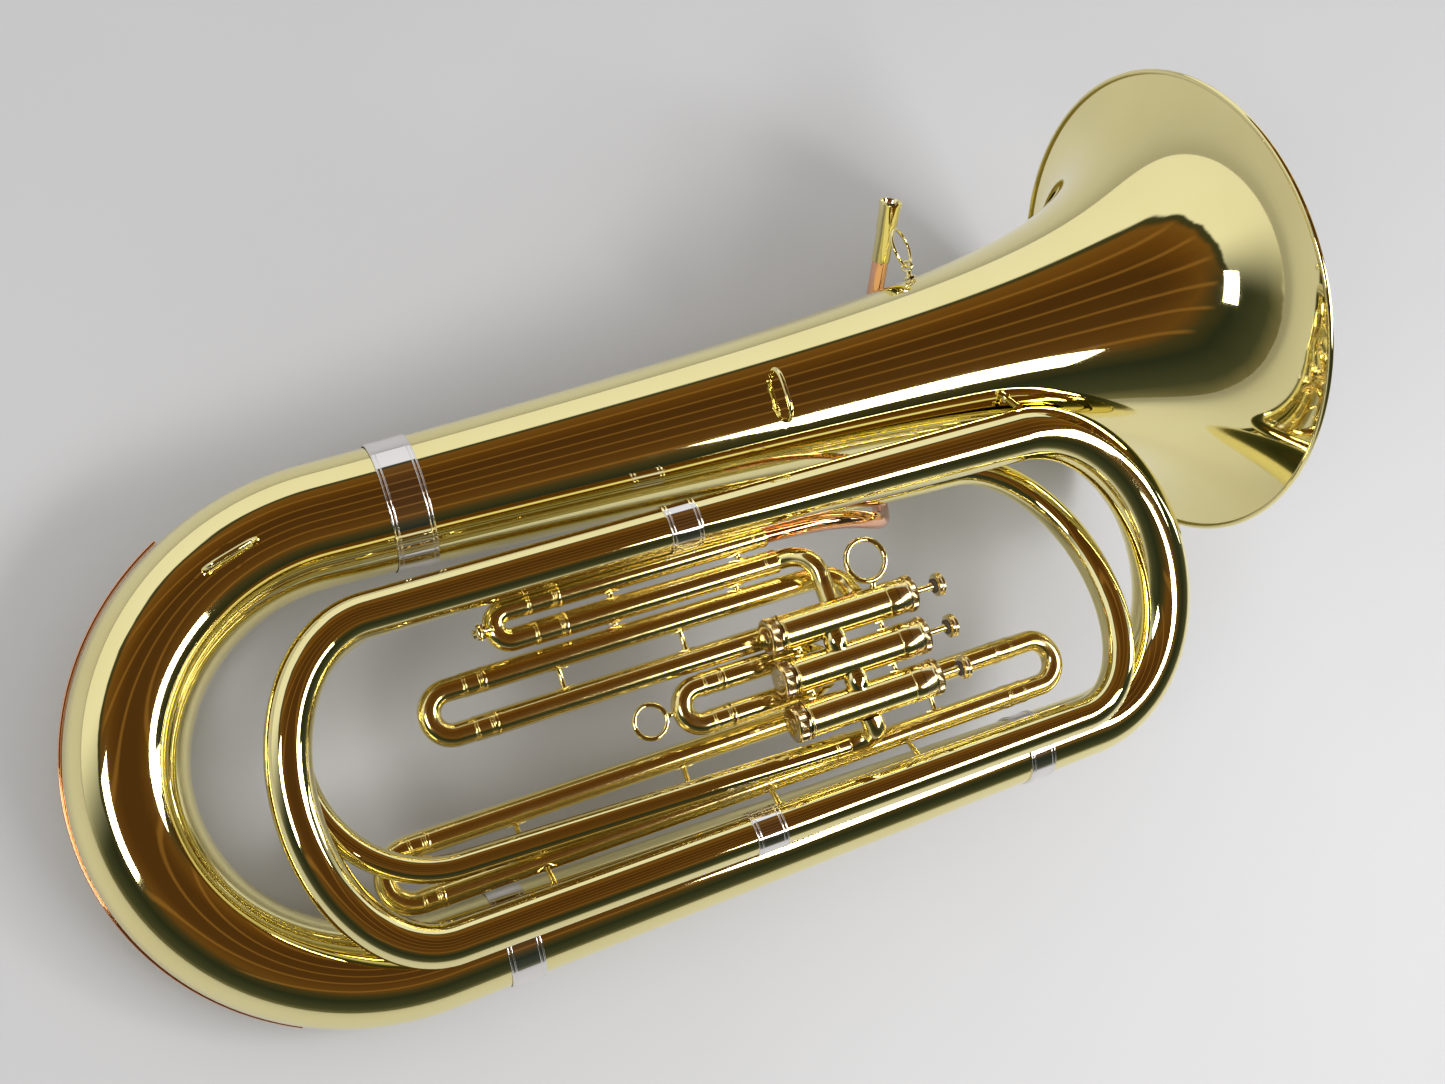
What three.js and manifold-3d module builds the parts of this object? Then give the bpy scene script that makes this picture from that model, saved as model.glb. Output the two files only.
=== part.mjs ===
// Compact three-valve, top-action brass bass (small tuba), lying valve side up on a flat surface.
//
// Units are millimetres. The instrument is built in its own frame:
//   x  along the bell axis, towards the mouth of the bell
//   y  from the outer branch towards the bell
//   z  towards the front, the side that the valves are on
// The bell axis is y = z = 0. At the end the whole group is laid on its bell rim and bows, +Z up.

import * as THREE from 'three';
import { mergeVertices } from 'three/addons/utils/BufferGeometryUtils.js';
import Module from 'manifold-3d';

const wasm = await Module();
wasm.setup();

// ---------------------------------------------------------------- driving dimensions

const GAP = 0.3; // clearance between neighbouring pieces
const WALL = 0.7; // sheet thickness of the large tubes
const THIN = 0.6; // wall of the valve-section tubing

const MOUTH_X = 826.4; // plane of the bell's mouth
const RIM_RADIUS = 184;
const RIM_BEAD = 2.4;
const FLARE_START = 26.07; // flare law: r = RIM_RADIUS * (1 + d / FLARE_START) ^ -FLARE_POWER
const FLARE_POWER = 0.445;

const BRANCH_Y = -293; // axis of the outer branch
const INNER_LEG = { y: -68.4, z: 54 }; // leg that runs beside the bell, at the fourth ferrule
const INNER_RETURN = { y: -278.5, z: 45.4 }; // leg that lies on the outer branch, at the fifth ferrule
const HIDDEN_LEG = { y: -81, z: -14 }; // leg between the bell and the main slide
const HIDDEN_JOINT = { x: 400, y: -75, z: -5 };

// joints between the branches, each under a ferrule
const JOINT_1 = { x: 201.2, radius: 44.0, length: 27 };
const JOINT_2 = { x: 193.3, radius: 31.2, length: 23 };
const JOINT_3 = { x: 592.1, radius: 24.3, length: 21 };
const JOINT_4 = { x: 367.0, radius: 15.5, length: 23 };
const JOINT_5 = { x: 364.9, radius: 13.7, length: 22 };
const HIDDEN_RADIUS = 9.6;
const FERRULE_WALL = 0.9;

// valve block
const VALVE_Y = [-157, -187, -217];
const VALVE_Z = 58;
const CASING = { start: 410, end: 498, radius: 12.4, bore: 11.2 };
const CAP_RADIUS = 13.4;
const BOTTOM_CAP_X = 400;
const TOP_CAP_X = 515;
const PISTON = { start: 424, end: 486, radius: 10.8, hollow: 8.4, ceiling: 476 };
const STEM_RADIUS = 2.4;
const BUTTON = { start: 530, end: 537.5, radius: 8.5 };
const SPRING = { start: 403.2, radius: 6.6, wire: 0.8, turns: 4, length: 52 };

// valve slides: outer sleeve, inner leg, bow
const SLEEVE_RADIUS = 8.2;
const LEG_RADIUS = 7.2;
const BOW_RADIUS = 7.9;
const CROOK_RADIUS = 6.8;
const MAIN_SLIDE = { z: 38, upper: -88.8, lower: -108.6, bowX: 241.5, sleeveX: 275.5 };
const FIRST_SLIDE = { z: 34.8, upper: -127.5, lower: -156.5, bowX: 190.8, sleeveX: 214.5 };
const SECOND_SLIDE = { z: 34.8, upper: -174, lower: -199, bowX: 350.2, sleeveX: 368.5 };
const THIRD_LEFT = { z: 18, upper: -216, lower: -251, bowX: 141, sleeveX: 153.8 };
const THIRD_RIGHT = { z: 18, upper: -218, lower: -251, bowX: 609, sleeveX: 579.5 };
const STRUT_RADIUS = 1.6;

// leadpipe and mouthpiece receiver
const LEADPIPE_RADIUS = 6.4;
const LEADPIPE_START_X = 428.4;
const RECEIVER_BASE = new THREE.Vector3(609.7, 78, -39);
const RECEIVER_AXIS = new THREE.Vector3(0.197, 0.788, 0.584).normalize();
const RECEIVER = { from: 19.3, to: 67, bore: 6.8, mouthRadius: 8.8, radius: 7.2 };

// rings, loops and water key
const THUMB_RING = { x: 486.4, y: -126.2, z: 60, radius: 14.6, wire: 1.9 };
const PULL_RING = { x: 314.2, y: -187, radius: 11.4, wire: 1.5 };
const STRAP_RING = { radius: 14.5, wire: 1.3 };
const STRAP_EYE = { x: 613, radius: 3.8, wire: 1.1, bearing: 8 };
const LOOP_WIRE = 1.9;
const WATER_KEY = { x: 219.8, y: -98.7, z: 49.5, spoutZ: 40, pin: 0.9, hole: 1.3 };

// lying pose: how far the instrument pitches and rolls to rest on its bell rim and bottom bow
const LYING_PITCH = 8.313;
const LYING_ROLL = 8.358;

// ---------------------------------------------------------------- materials

function metal(color, roughness, metalness = 1) {
  return new THREE.MeshStandardMaterial({ color, roughness, metalness });
}

const BRASS = metal(0xd8a93a, 0.12);
const NICKEL = metal(0xb9b3b0, 0.14);
const ROSE_BRASS = metal(0xb06a3c, 0.18);
const CAP_BRASS = metal(0xb98f4c, 0.35);
const STEEL = metal(0x8f9296, 0.3);

// ---------------------------------------------------------------- solids

const AXIS_X = new THREE.Vector3(1, 0, 0);
const AXIS_Y = new THREE.Vector3(0, 1, 0);
const AXIS_Z = new THREE.Vector3(0, 0, 1);

function vec(x, y, z) {
  return new THREE.Vector3(x, y, z);
}

function signedVolume(geometry) {
  const position = geometry.getAttribute('position');
  const index = geometry.getIndex();
  const [a, b, c] = [vec(0, 0, 0), vec(0, 0, 0), vec(0, 0, 0)];
  let volume = 0;
  for (let i = 0; i < index.count; i += 3) {
    a.fromBufferAttribute(position, index.getX(i));
    b.fromBufferAttribute(position, index.getX(i + 1));
    c.fromBufferAttribute(position, index.getX(i + 2));
    volume += a.dot(b.cross(c)) / 6;
  }
  return volume;
}

// Shared vertices merged, and every face turned outwards.
function closedSolid(source) {
  source.deleteAttribute('normal');
  source.deleteAttribute('uv');
  const geometry = mergeVertices(source, 1e-4);
  if (signedVolume(geometry) < 0) {
    const array = geometry.getIndex().array;
    for (let i = 0; i < array.length; i += 3) {
      [array[i + 1], array[i + 2]] = [array[i + 2], array[i + 1]];
    }
  }
  return geometry;
}

// A body of revolution about the x axis. The profile is a list of [x, radius] pairs.
function turned(profile, segments = 24) {
  const points = profile.map(([x, radius]) => new THREE.Vector2(radius, x));
  const lathe = new THREE.LatheGeometry(points, segments);
  lathe.rotateZ(-Math.PI / 2);
  return closedSolid(lathe);
}

// The same, with the profile closed on itself: a ring or sleeve.
function turnedRing(profile, segments = 24) {
  return turned([...profile, profile[0]], segments);
}

function directions(points) {
  return points.map((point, i) => {
    const before = points[Math.max(i - 1, 0)];
    const after = points[Math.min(i + 1, points.length - 1)];
    return after.clone().sub(before).normalize();
  });
}

function lengthFractions(points) {
  const lengths = [0];
  for (let i = 1; i < points.length; i += 1) {
    lengths.push(lengths[i - 1] + points[i].distanceTo(points[i - 1]));
  }
  return lengths.map((length) => length / lengths.at(-1));
}

// One ring of points round each station, kept free of twist from one station to the next.
function rings(points, radiusAt, sides) {
  const along = directions(points);
  const fractions = lengthFractions(points);
  const across = Math.abs(along[0].z) < 0.8 ? AXIS_Z.clone() : AXIS_Y.clone();
  return points.map((point, i) => {
    across.addScaledVector(along[i], -across.dot(along[i])).normalize();
    const third = along[i].clone().cross(across);
    return Array.from({ length: sides }, (_, k) => {
      const angle = (2 * Math.PI * k) / sides;
      return point.clone()
        .addScaledVector(across, radiusAt(fractions[i]) * Math.cos(angle))
        .addScaledVector(third, radiusAt(fractions[i]) * Math.sin(angle));
    });
  });
}

// A tube swept along points. radiusAt takes the fraction of the length; wall 0 makes a solid rod.
function swept(points, radiusAt, wall, sides) {
  const outer = rings(points, radiusAt, sides);
  const vertices = outer.flat();
  const faces = [];
  const last = points.length - 1;
  const quad = (a, b, c, d) => faces.push(a, b, c, a, c, d);
  const outerAt = (i, k) => i * sides + (k % sides);
  for (let i = 0; i < last; i += 1) {
    for (let k = 0; k < sides; k += 1) {
      quad(outerAt(i, k), outerAt(i, k + 1), outerAt(i + 1, k + 1), outerAt(i + 1, k));
    }
  }
  if (wall > 0) {
    const offset = vertices.length;
    vertices.push(...rings(points, (u) => radiusAt(u) - wall, sides).flat());
    const innerAt = (i, k) => offset + outerAt(i, k);
    for (let k = 0; k < sides; k += 1) {
      for (let i = 0; i < last; i += 1) {
        quad(innerAt(i, k), innerAt(i + 1, k), innerAt(i + 1, k + 1), innerAt(i, k + 1));
      }
      quad(outerAt(0, k), innerAt(0, k), innerAt(0, k + 1), outerAt(0, k + 1));
      quad(outerAt(last, k), outerAt(last, k + 1), innerAt(last, k + 1), innerAt(last, k));
    }
  } else {
    for (let k = 1; k < sides - 1; k += 1) {
      faces.push(outerAt(0, 0), outerAt(0, k + 1), outerAt(0, k));
      faces.push(outerAt(last, 0), outerAt(last, k), outerAt(last, k + 1));
    }
  }
  const geometry = new THREE.BufferGeometry();
  const positions = vertices.flatMap((vertex) => vertex.toArray());
  geometry.setAttribute('position', new THREE.Float32BufferAttribute(positions, 3));
  geometry.setIndex(faces);
  return closedSolid(geometry);
}

function tube(points, radius, wall = THIN, sides = 12) {
  return swept(points, () => radius, wall, sides);
}

function taperedTube(points, from, to, wall = WALL, sides = 16) {
  return swept(points, (u) => from + (to - from) * u, wall, sides);
}

function rod(from, to, radius, sides = 8) {
  return swept([from, to], () => radius, 0, sides);
}

// A closed ring of round wire about the z axis.
function wireRing(radius, wire, segments = 16, sides = 5) {
  return closedSolid(new THREE.TorusGeometry(radius, wire, sides, segments));
}

function toManifold(geometry) {
  const mesh = new wasm.Mesh({
    numProp: 3,
    vertProperties: new Float32Array(geometry.getAttribute('position').array),
    triVerts: new Uint32Array(geometry.getIndex().array),
  });
  return new wasm.Manifold(mesh);
}

function fromManifold(solid) {
  const mesh = solid.getMesh();
  const geometry = new THREE.BufferGeometry();
  geometry.setAttribute('position', new THREE.Float32BufferAttribute(mesh.vertProperties, 3));
  geometry.setIndex(Array.from(mesh.triVerts));
  return geometry;
}

function joined(...geometries) {
  const solids = geometries.map(toManifold);
  return fromManifold(solids.reduce((sum, solid) => sum.add(solid)));
}

function cut(geometry, ...tools) {
  const solids = tools.map(toManifold);
  return fromManifold(solids.reduce((rest, tool) => rest.subtract(tool), toManifold(geometry)));
}

// ---------------------------------------------------------------- centrelines

// Half an ellipse between two leg ends, bulging by reach along x. lean shears it along x.
function bowPoints(start, end, reach, steps, lean = 0) {
  const middle = start.clone().add(end).multiplyScalar(0.5);
  const half = end.clone().sub(start).multiplyScalar(0.5);
  return Array.from({ length: steps + 1 }, (_, i) => {
    const angle = -Math.PI / 2 + (Math.PI * i) / steps;
    const point = middle.clone().addScaledVector(half, Math.sin(angle));
    point.x += reach * Math.cos(angle) + lean * Math.sin(angle);
    return point;
  });
}

// A smooth line through a few chosen points.
function smoothLine(points, steps) {
  return new THREE.CatmullRomCurve3(points, false, 'centripetal').getPoints(steps);
}

function bellRadius(x) {
  return RIM_RADIUS * (1 + (MOUTH_X - x) / FLARE_START) ** -FLARE_POWER;
}

function bellSlope(x) {
  return (FLARE_POWER * bellRadius(x)) / (FLARE_START + MOUTH_X - x);
}

// ---------------------------------------------------------------- bell and branches

function bellGeometry(stations = 9, segments = 26) {
  const length = MOUTH_X - JOINT_1.x - GAP / 2;
  const outside = [];
  const inside = [];
  for (let i = stations; i >= 0; i -= 1) {
    const x = MOUTH_X - length * (i / stations) ** 2.1;
    const slope = bellSlope(x);
    const lean = Math.hypot(1, slope);
    outside.push([x, bellRadius(x)]);
    inside.unshift([x + (WALL * slope) / lean, bellRadius(x) - WALL / lean]);
  }
  const bead = [200, 130, 60, -10].map((degrees) => {
    const angle = THREE.MathUtils.degToRad(degrees);
    return [MOUTH_X + RIM_BEAD * Math.cos(angle), RIM_RADIUS + 1 + RIM_BEAD * Math.sin(angle)];
  });
  inside[0][0] = MOUTH_X + WALL;
  return turnedRing([...outside, ...bead.slice(1), ...inside], segments);
}

const BOTTOM_BOW = { centre: 145.4, reach: -152.9 };

function bottomBowLine(steps) {
  const start = vec(BOTTOM_BOW.centre, 0, 0);
  const end = vec(BOTTOM_BOW.centre, BRANCH_Y, 0);
  return bowPoints(start, end, BOTTOM_BOW.reach, steps);
}

function bottomBowGeometry() {
  const line = [
    vec(JOINT_1.x - GAP / 2, 0, 0),
    ...bottomBowLine(12),
    vec(JOINT_2.x - GAP / 2, BRANCH_Y, 0),
  ];
  return taperedTube(line, JOINT_1.radius, JOINT_2.radius, WALL, 14);
}

// A thin strip that follows the outside of the bottom bow.
function bowGuardGeometry() {
  const wire = 1.6;
  const centre = vec(BOTTOM_BOW.centre, BRANCH_Y / 2, 0);
  const full = bottomBowLine(18);
  const part = full.slice(3, -3);
  const line = part.map((point, i) => {
    const share = i / (part.length - 1);
    const bowRadius = THREE.MathUtils.lerp(JOINT_1.radius - 1.5, JOINT_2.radius + 2.5, share);
    const outwards = point.clone().sub(centre).normalize();
    return point.clone().addScaledVector(outwards, bowRadius + wire + 1.2);
  });
  return swept(line, () => wire, 0, 6);
}

function outerBranchGeometry() {
  const line = [vec(JOINT_2.x + GAP / 2, BRANCH_Y, 0), vec(JOINT_3.x - GAP / 2, BRANCH_Y, 0)];
  return taperedTube(line, JOINT_2.radius, JOINT_3.radius, WALL, 14);
}

function topBowGeometry() {
  const bow = bowPoints(vec(637.4, BRANCH_Y, 0), vec(637.4, -72.2, 62.8), 94, 10, -10.6);
  const line = [
    vec(JOINT_3.x + GAP / 2, BRANCH_Y, 0),
    ...bow,
    vec(JOINT_4.x + JOINT_4.length / 2, INNER_LEG.y, INNER_LEG.z),
    vec(JOINT_4.x + GAP / 2, INNER_LEG.y, INNER_LEG.z),
  ];
  return taperedTube(line, JOINT_3.radius, JOINT_4.radius, WALL, 12);
}

function innerBottomBowGeometry() {
  const bow = bowPoints(
    vec(154.2, INNER_LEG.y, INNER_LEG.z),
    vec(154.2, INNER_RETURN.y, INNER_RETURN.z),
    -71.2,
    10,
  );
  const line = [
    vec(JOINT_4.x - GAP / 2, INNER_LEG.y, INNER_LEG.z),
    ...bow,
    vec(JOINT_5.x - GAP / 2, INNER_RETURN.y, INNER_RETURN.z),
  ];
  return taperedTube(line, JOINT_4.radius, JOINT_5.radius, WALL, 10);
}

function innerTopBowGeometry() {
  const bow = bowPoints(
    vec(614.9, INNER_RETURN.y, INNER_RETURN.z),
    vec(614.9, HIDDEN_LEG.y, HIDDEN_LEG.z),
    69.7,
    10,
    -5.9,
  );
  const line = [
    vec(JOINT_5.x + GAP / 2, INNER_RETURN.y, INNER_RETURN.z),
    ...bow,
    vec(HIDDEN_JOINT.x + GAP, HIDDEN_JOINT.y, HIDDEN_JOINT.z),
  ];
  return taperedTube(line, JOINT_5.radius, HIDDEN_RADIUS, WALL, 10);
}

const EXIT_TUBE = { x: 430, y: -243, z: 40 }; // where the innermost bow meets the valve exit

function innermostBowGeometry() {
  const bow = bowPoints(vec(172, -70, 0), vec(172, -235, 39.5), -80, 10);
  const line = [
    vec(HIDDEN_JOINT.x - GAP, HIDDEN_JOINT.y, HIDDEN_JOINT.z),
    ...bow,
    vec(EXIT_TUBE.x - GAP, EXIT_TUBE.y, EXIT_TUBE.z),
  ];
  return taperedTube(line, HIDDEN_RADIUS, SLEEVE_RADIUS, WALL, 8);
}

// A sleeve over a joint in a tube that runs along x.
function ferruleGeometry({ radius, length }, slope, segments = 16) {
  const clearance = (r) => (r + GAP) / Math.cos(Math.PI / segments);
  const half = length / 2;
  const [low, high] = [radius - slope * half, radius + slope * half];
  return turnedRing([
    [-half, clearance(low)],
    [-half, clearance(low) + FERRULE_WALL],
    [half, clearance(high) + FERRULE_WALL],
    [half, clearance(high)],
  ], segments);
}

// ---------------------------------------------------------------- leadpipe and receiver

function onReceiverAxis(distance) {
  return RECEIVER_BASE.clone().addScaledVector(RECEIVER_AXIS, distance);
}

function leadpipeGeometry() {
  const route = [
    vec(LEADPIPE_START_X, MAIN_SLIDE.upper, MAIN_SLIDE.z),
    vec(446, -89.5, 38.3),
    vec(470, -91, 36),
    vec(498, -94.5, 26.5),
    vec(522, -99, 10),
    vec(539, -100, -9),
    vec(550, -93, -27.5),
    vec(559, -75, -45),
    vec(566, -50, -60),
    vec(574, -23, -72.5),
    vec(583, 4, -78.5),
    vec(593, 28, -74.5),
    onReceiverAxis(-38),
    onReceiverAxis(-20),
    onReceiverAxis(RECEIVER.from - GAP),
  ];
  return tube(smoothLine(route, 18), LEADPIPE_RADIUS, THIN, 8);
}

// Turned about x from 0, then laid on the receiver's axis.
function receiverGeometry() {
  const length = RECEIVER.to - RECEIVER.from;
  const geometry = turnedRing([
    [0, LEADPIPE_RADIUS - 1.4],
    [0, RECEIVER.radius - 0.4],
    [length * 0.52, RECEIVER.radius],
    [length * 0.55, RECEIVER.radius + 0.7],
    [length - 3, RECEIVER.mouthRadius - 0.3],
    [length, RECEIVER.mouthRadius],
    [length, RECEIVER.bore],
    [length * 0.3, RECEIVER.bore - 1.2],
  ], 16);
  const turn = new THREE.Quaternion().setFromUnitVectors(AXIS_X, RECEIVER_AXIS);
  geometry.applyQuaternion(turn);
  geometry.translate(...onReceiverAxis(RECEIVER.from).toArray());
  return geometry;
}

// ---------------------------------------------------------------- slides

// The moving part of a slide: a U with a leg in each sleeve. side -1 opens to +x, side 1 to -x.
function slideBowGeometry(slide, legLength, side) {
  const { z, upper, lower, bowX, sleeveX } = slide;
  const radius = Math.abs(upper - lower) / 2;
  const reach = side * radius;
  const legEnd = sleeveX - side * legLength;
  const bow = bowPoints(vec(bowX, upper, z), vec(bowX, lower, z), reach, 6);
  const bandEnd = sleeveX + side * GAP;
  const outline = [vec(bandEnd, upper, z), ...bow, vec(bandEnd, lower, z)];
  const bend = tube(outline, BOW_RADIUS, 1.2, 8);
  const legs = [upper, lower].map((y) => {
    const line = [vec(bandEnd + side * 6, y, z), vec(legEnd, y, z)];
    return tube(line, LEG_RADIUS, 0.9, 8);
  });
  return joined(bend, ...legs);
}

function straightSleeve(slide, y, fromX, toX) {
  return tube([vec(fromX, y, slide.z), vec(toX, y, slide.z)], SLEEVE_RADIUS, THIN, 8);
}

// A strut square to x between two tubes: rooted in the first one's wall, a gap short of the second.
function strut(x, from, to, fromRadius = SLEEVE_RADIUS, toRadius = SLEEVE_RADIUS) {
  const start = vec(x, from.y, from.z);
  const end = vec(x, to.y, to.z);
  const along = end.clone().sub(start).normalize();
  start.addScaledVector(along, fromRadius - 0.75);
  end.addScaledVector(along, -toRadius - GAP);
  return rod(start, end, STRUT_RADIUS, 6);
}

// The room that a casing takes, for pieces that end on its wall.
function casingCutter(y) {
  const { start, end } = CASING;
  const segments = 24;
  const radius = (CASING.radius + GAP) / Math.cos(Math.PI / segments);
  const cutter = turned([[start, 0], [start, radius], [end, radius], [end, 0]], segments);
  cutter.translate(0, y, VALVE_Z);
  return cutter;
}

// A sleeve that ends on a casing's wall: straight first, then through the given points.
function bentSleeve(slide, y, route, casingY, steps = 6) {
  const line = [vec(slide.sleeveX, y, slide.z), ...smoothLine(route, steps)];
  return cut(tube(line, SLEEVE_RADIUS, THIN, 8), casingCutter(casingY));
}

function mainLowerSleeve() {
  const { z, lower, sleeveX } = MAIN_SLIDE;
  const sleeve = tube([vec(sleeveX, lower, z), vec(431, lower, z)], SLEEVE_RADIUS, THIN, 8);
  const crook = smoothLine([
    vec(425, lower, z + 0.1),
    vec(433, lower, z + 1),
    vec(441, lower - 0.6, z + 7),
    vec(448, lower - 5, z + 14),
    vec(452, lower - 13, z + 17.6),
    vec(452.6, lower - 22, z + 18),
    vec(452.5, VALVE_Y[0] + CASING.bore, VALVE_Z),
  ], 8);
  const own = { y: lower, z };
  const struts = [
    ...[311.8, 405.8].map((x) => strut(x, own, { y: MAIN_SLIDE.upper, z })),
    ...[310, 398.7].map((x) => strut(x, own, { y: FIRST_SLIDE.upper, z: FIRST_SLIDE.z })),
  ];
  const whole = joined(sleeve, tube(crook, CROOK_RADIUS, THIN, 8), ...struts);
  return cut(whole, casingCutter(VALVE_Y[0]));
}

function firstUpperSleeve() {
  const { z, upper } = FIRST_SLIDE;
  return bentSleeve(FIRST_SLIDE, upper, [
    vec(448, upper, z),
    vec(458, upper - 0.2, z + 0.4),
    vec(467, upper - 3.6, z + 2.4),
    vec(472.5, upper - 10, z + 7),
    vec(474, upper - 21, z + 16),
  ], VALVE_Y[0]);
}

// Three sleeves meet the back of a casing square on: straight, then a quarter turn towards +z.
function sleeveToCasingBack(slide, y, endX, casingY) {
  const back = VALVE_Z - CASING.bore;
  const side = Math.sign(endX - slide.sleeveX);
  return bentSleeve(slide, y, [
    vec(endX - 22 * side, y, slide.z),
    vec(endX - 12 * side, y, slide.z + 0.2),
    vec(endX - 3.5 * side, y + (casingY - y) * 0.2, slide.z + (back - slide.z) * 0.35),
    vec(endX, casingY, back),
  ], casingY);
}

function firstLowerSleeve() {
  const { z, upper, lower } = FIRST_SLIDE;
  const sleeve = sleeveToCasingBack(FIRST_SLIDE, lower, 431, VALVE_Y[0]);
  const struts = [265, 351.9].map((x) => strut(x, { y: lower, z }, { y: upper, z }));
  return joined(sleeve, ...struts);
}

// The long tube under the third slide, tied to the sleeves above it and to the inner return.
function thirdLowerSleeve() {
  const { z, lower, upper, sleeveX } = THIRD_LEFT;
  const own = { y: lower, z };
  const right = { y: THIRD_RIGHT.upper, z };
  const returnRadius = JOINT_5.radius + 0.4;
  return joined(
    straightSleeve(THIRD_LEFT, lower, sleeveX, THIRD_RIGHT.sleeveX),
    ...[212.2, 331.4].map((x) => strut(x, own, { y: upper, z })),
    strut(522.4, own, right),
    ...[222.7, 384, 492.4].map((x) => strut(x, own, INNER_RETURN, SLEEVE_RADIUS, returnRadius)),
  );
}

function shortSleeveToCasing(slide, y, endX, side) {
  const reach = CASING.bore;
  const angle = THREE.MathUtils.degToRad(side > 0 ? 50 : 130);
  const port = vec(endX, VALVE_Y[1] + reach * Math.cos(angle), VALVE_Z - reach * Math.sin(angle));
  return bentSleeve(slide, y, [
    vec(endX - 22, y, slide.z),
    vec(endX - 11, y, slide.z + 0.2),
    vec(endX - 3, y - side * 0.6, slide.z + 3.6),
    port,
  ], VALVE_Y[1]);
}

function exitElbowGeometry() {
  const line = smoothLine([
    vec(457, VALVE_Y[2] - CASING.bore, VALVE_Z - 2),
    vec(458.4, -237, 54),
    vec(455.5, -242, 47.5),
    vec(446, -243, 42),
    vec(436, -243, EXIT_TUBE.z + 0.2),
    vec(EXIT_TUBE.x + GAP, EXIT_TUBE.y, EXIT_TUBE.z),
  ], 8);
  return cut(tube(line, SLEEVE_RADIUS - 0.4, THIN, 8), casingCutter(VALVE_Y[2]));
}

// ---------------------------------------------------------------- valves

// The middle casing carries the posts that tie it to its neighbours.
function casingGeometry(index) {
  const casing = turnedRing([
    [CASING.start, CASING.bore],
    [CASING.start, CASING.radius],
    [CASING.end, CASING.radius],
    [CASING.end, CASING.bore],
  ], 16);
  if (index !== 1) {
    return casing;
  }
  const posts = [VALVE_Y[0], VALVE_Y[2]].flatMap((y) => {
    const neighbour = { y: y - VALVE_Y[1], z: 0 };
    const { radius } = CASING;
    return [421.5, 484.4].map((x) => strut(x, { y: 0, z: 0 }, neighbour, radius, radius));
  });
  return joined(casing, ...posts);
}

function bottomCapGeometry() {
  return turned([
    [BOTTOM_CAP_X, 0],
    [BOTTOM_CAP_X, CAP_RADIUS - 1.2],
    [BOTTOM_CAP_X + 1.2, CAP_RADIUS],
    [CASING.start - GAP, CAP_RADIUS],
    [CASING.start - GAP, CASING.bore],
    [BOTTOM_CAP_X + 2.6, CASING.bore],
    [BOTTOM_CAP_X + 2.6, 0],
  ], 16);
}

function topCapGeometry() {
  return turnedRing([
    [CASING.end + GAP, CASING.bore],
    [CASING.end + GAP, CASING.radius + 0.3],
    [CASING.end + 8, CASING.radius + 0.3],
    [CASING.end + 8.8, CAP_RADIUS],
    [CASING.end + 14, CAP_RADIUS],
    [TOP_CAP_X, CAP_RADIUS - 3],
    [TOP_CAP_X, STEM_RADIUS + 0.9],
    [TOP_CAP_X - 3, STEM_RADIUS + 0.9],
    [TOP_CAP_X - 3, CASING.bore],
  ], 16);
}

function pistonGeometry() {
  return turned([
    [PISTON.start, PISTON.hollow],
    [PISTON.start, PISTON.radius],
    [PISTON.end, PISTON.radius],
    [PISTON.end, STEM_RADIUS],
    [BUTTON.start - GAP, STEM_RADIUS],
    [BUTTON.start - GAP, 0],
    [PISTON.ceiling, 0],
    [PISTON.ceiling, PISTON.hollow],
    [PISTON.start, PISTON.hollow],
  ], 16);
}

function buttonGeometry() {
  return turned([
    [BUTTON.start, 0],
    [BUTTON.start, BUTTON.radius - 2.4],
    [BUTTON.start + 1.6, BUTTON.radius - 0.4],
    [BUTTON.end - 3, BUTTON.radius],
    [BUTTON.end - 1, BUTTON.radius - 0.8],
    [BUTTON.end, BUTTON.radius - 2.6],
    [BUTTON.end, 0],
  ], 14);
}

// A coil of square wire at its pressed-down length.
function springGeometry() {
  const steps = SPRING.turns * 8;
  const line = Array.from({ length: steps + 1 }, (_, i) => {
    const angle = (2 * Math.PI * SPRING.turns * i) / steps;
    const x = SPRING.start + SPRING.wire + (SPRING.length * i) / steps;
    return vec(x, SPRING.radius * Math.cos(angle), SPRING.radius * Math.sin(angle));
  });
  return swept(line, () => SPRING.wire, 0, 4);
}

// A round connecting tube between two casings, hollowed to fit their walls.
function knuckleGeometry(x, firstY, secondY) {
  const middle = (firstY + secondY) / 2;
  const half = Math.abs(firstY - secondY) / 2;
  const barrel = turned([
    [-half, 0],
    [-half, 7.2],
    [-half / 2, 8.1],
    [half / 2, 8.1],
    [half, 7.2],
    [half, 0],
  ], 16);
  barrel.rotateZ(Math.PI / 2);
  barrel.translate(x, middle, VALVE_Z + 3.2);
  return cut(barrel, casingCutter(firstY), casingCutter(secondY));
}

// ---------------------------------------------------------------- rings, loops, water key

function ringInPlane(radius, wire, centre, normal, segments = 16) {
  const geometry = wireRing(radius, wire, segments);
  geometry.applyQuaternion(new THREE.Quaternion().setFromUnitVectors(AXIS_Z, normal));
  geometry.translate(...centre.toArray());
  return geometry;
}

function thumbRingGeometry() {
  const { x, y, z, radius, wire } = THUMB_RING;
  return ringInPlane(radius, wire, vec(x, y, z), AXIS_Z);
}

function pullRingGeometry() {
  const { x, y, radius, wire } = PULL_RING;
  return ringInPlane(radius, wire, vec(x, y, SECOND_SLIDE.z), AXIS_Z);
}

function bellBearing(x, degrees, height) {
  const angle = THREE.MathUtils.degToRad(degrees);
  const radius = bellRadius(x) + height;
  return vec(x, radius * Math.cos(angle), radius * Math.sin(angle));
}

const STRAP_RING_NORMAL = vec(0.65, 0, 0.76).normalize();
const STRAP_HINGE = STRAP_RING_NORMAL.clone().cross(AXIS_Y).normalize();

function strapEyeCentre() {
  return bellBearing(STRAP_EYE.x, STRAP_EYE.bearing, 8.6);
}

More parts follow.
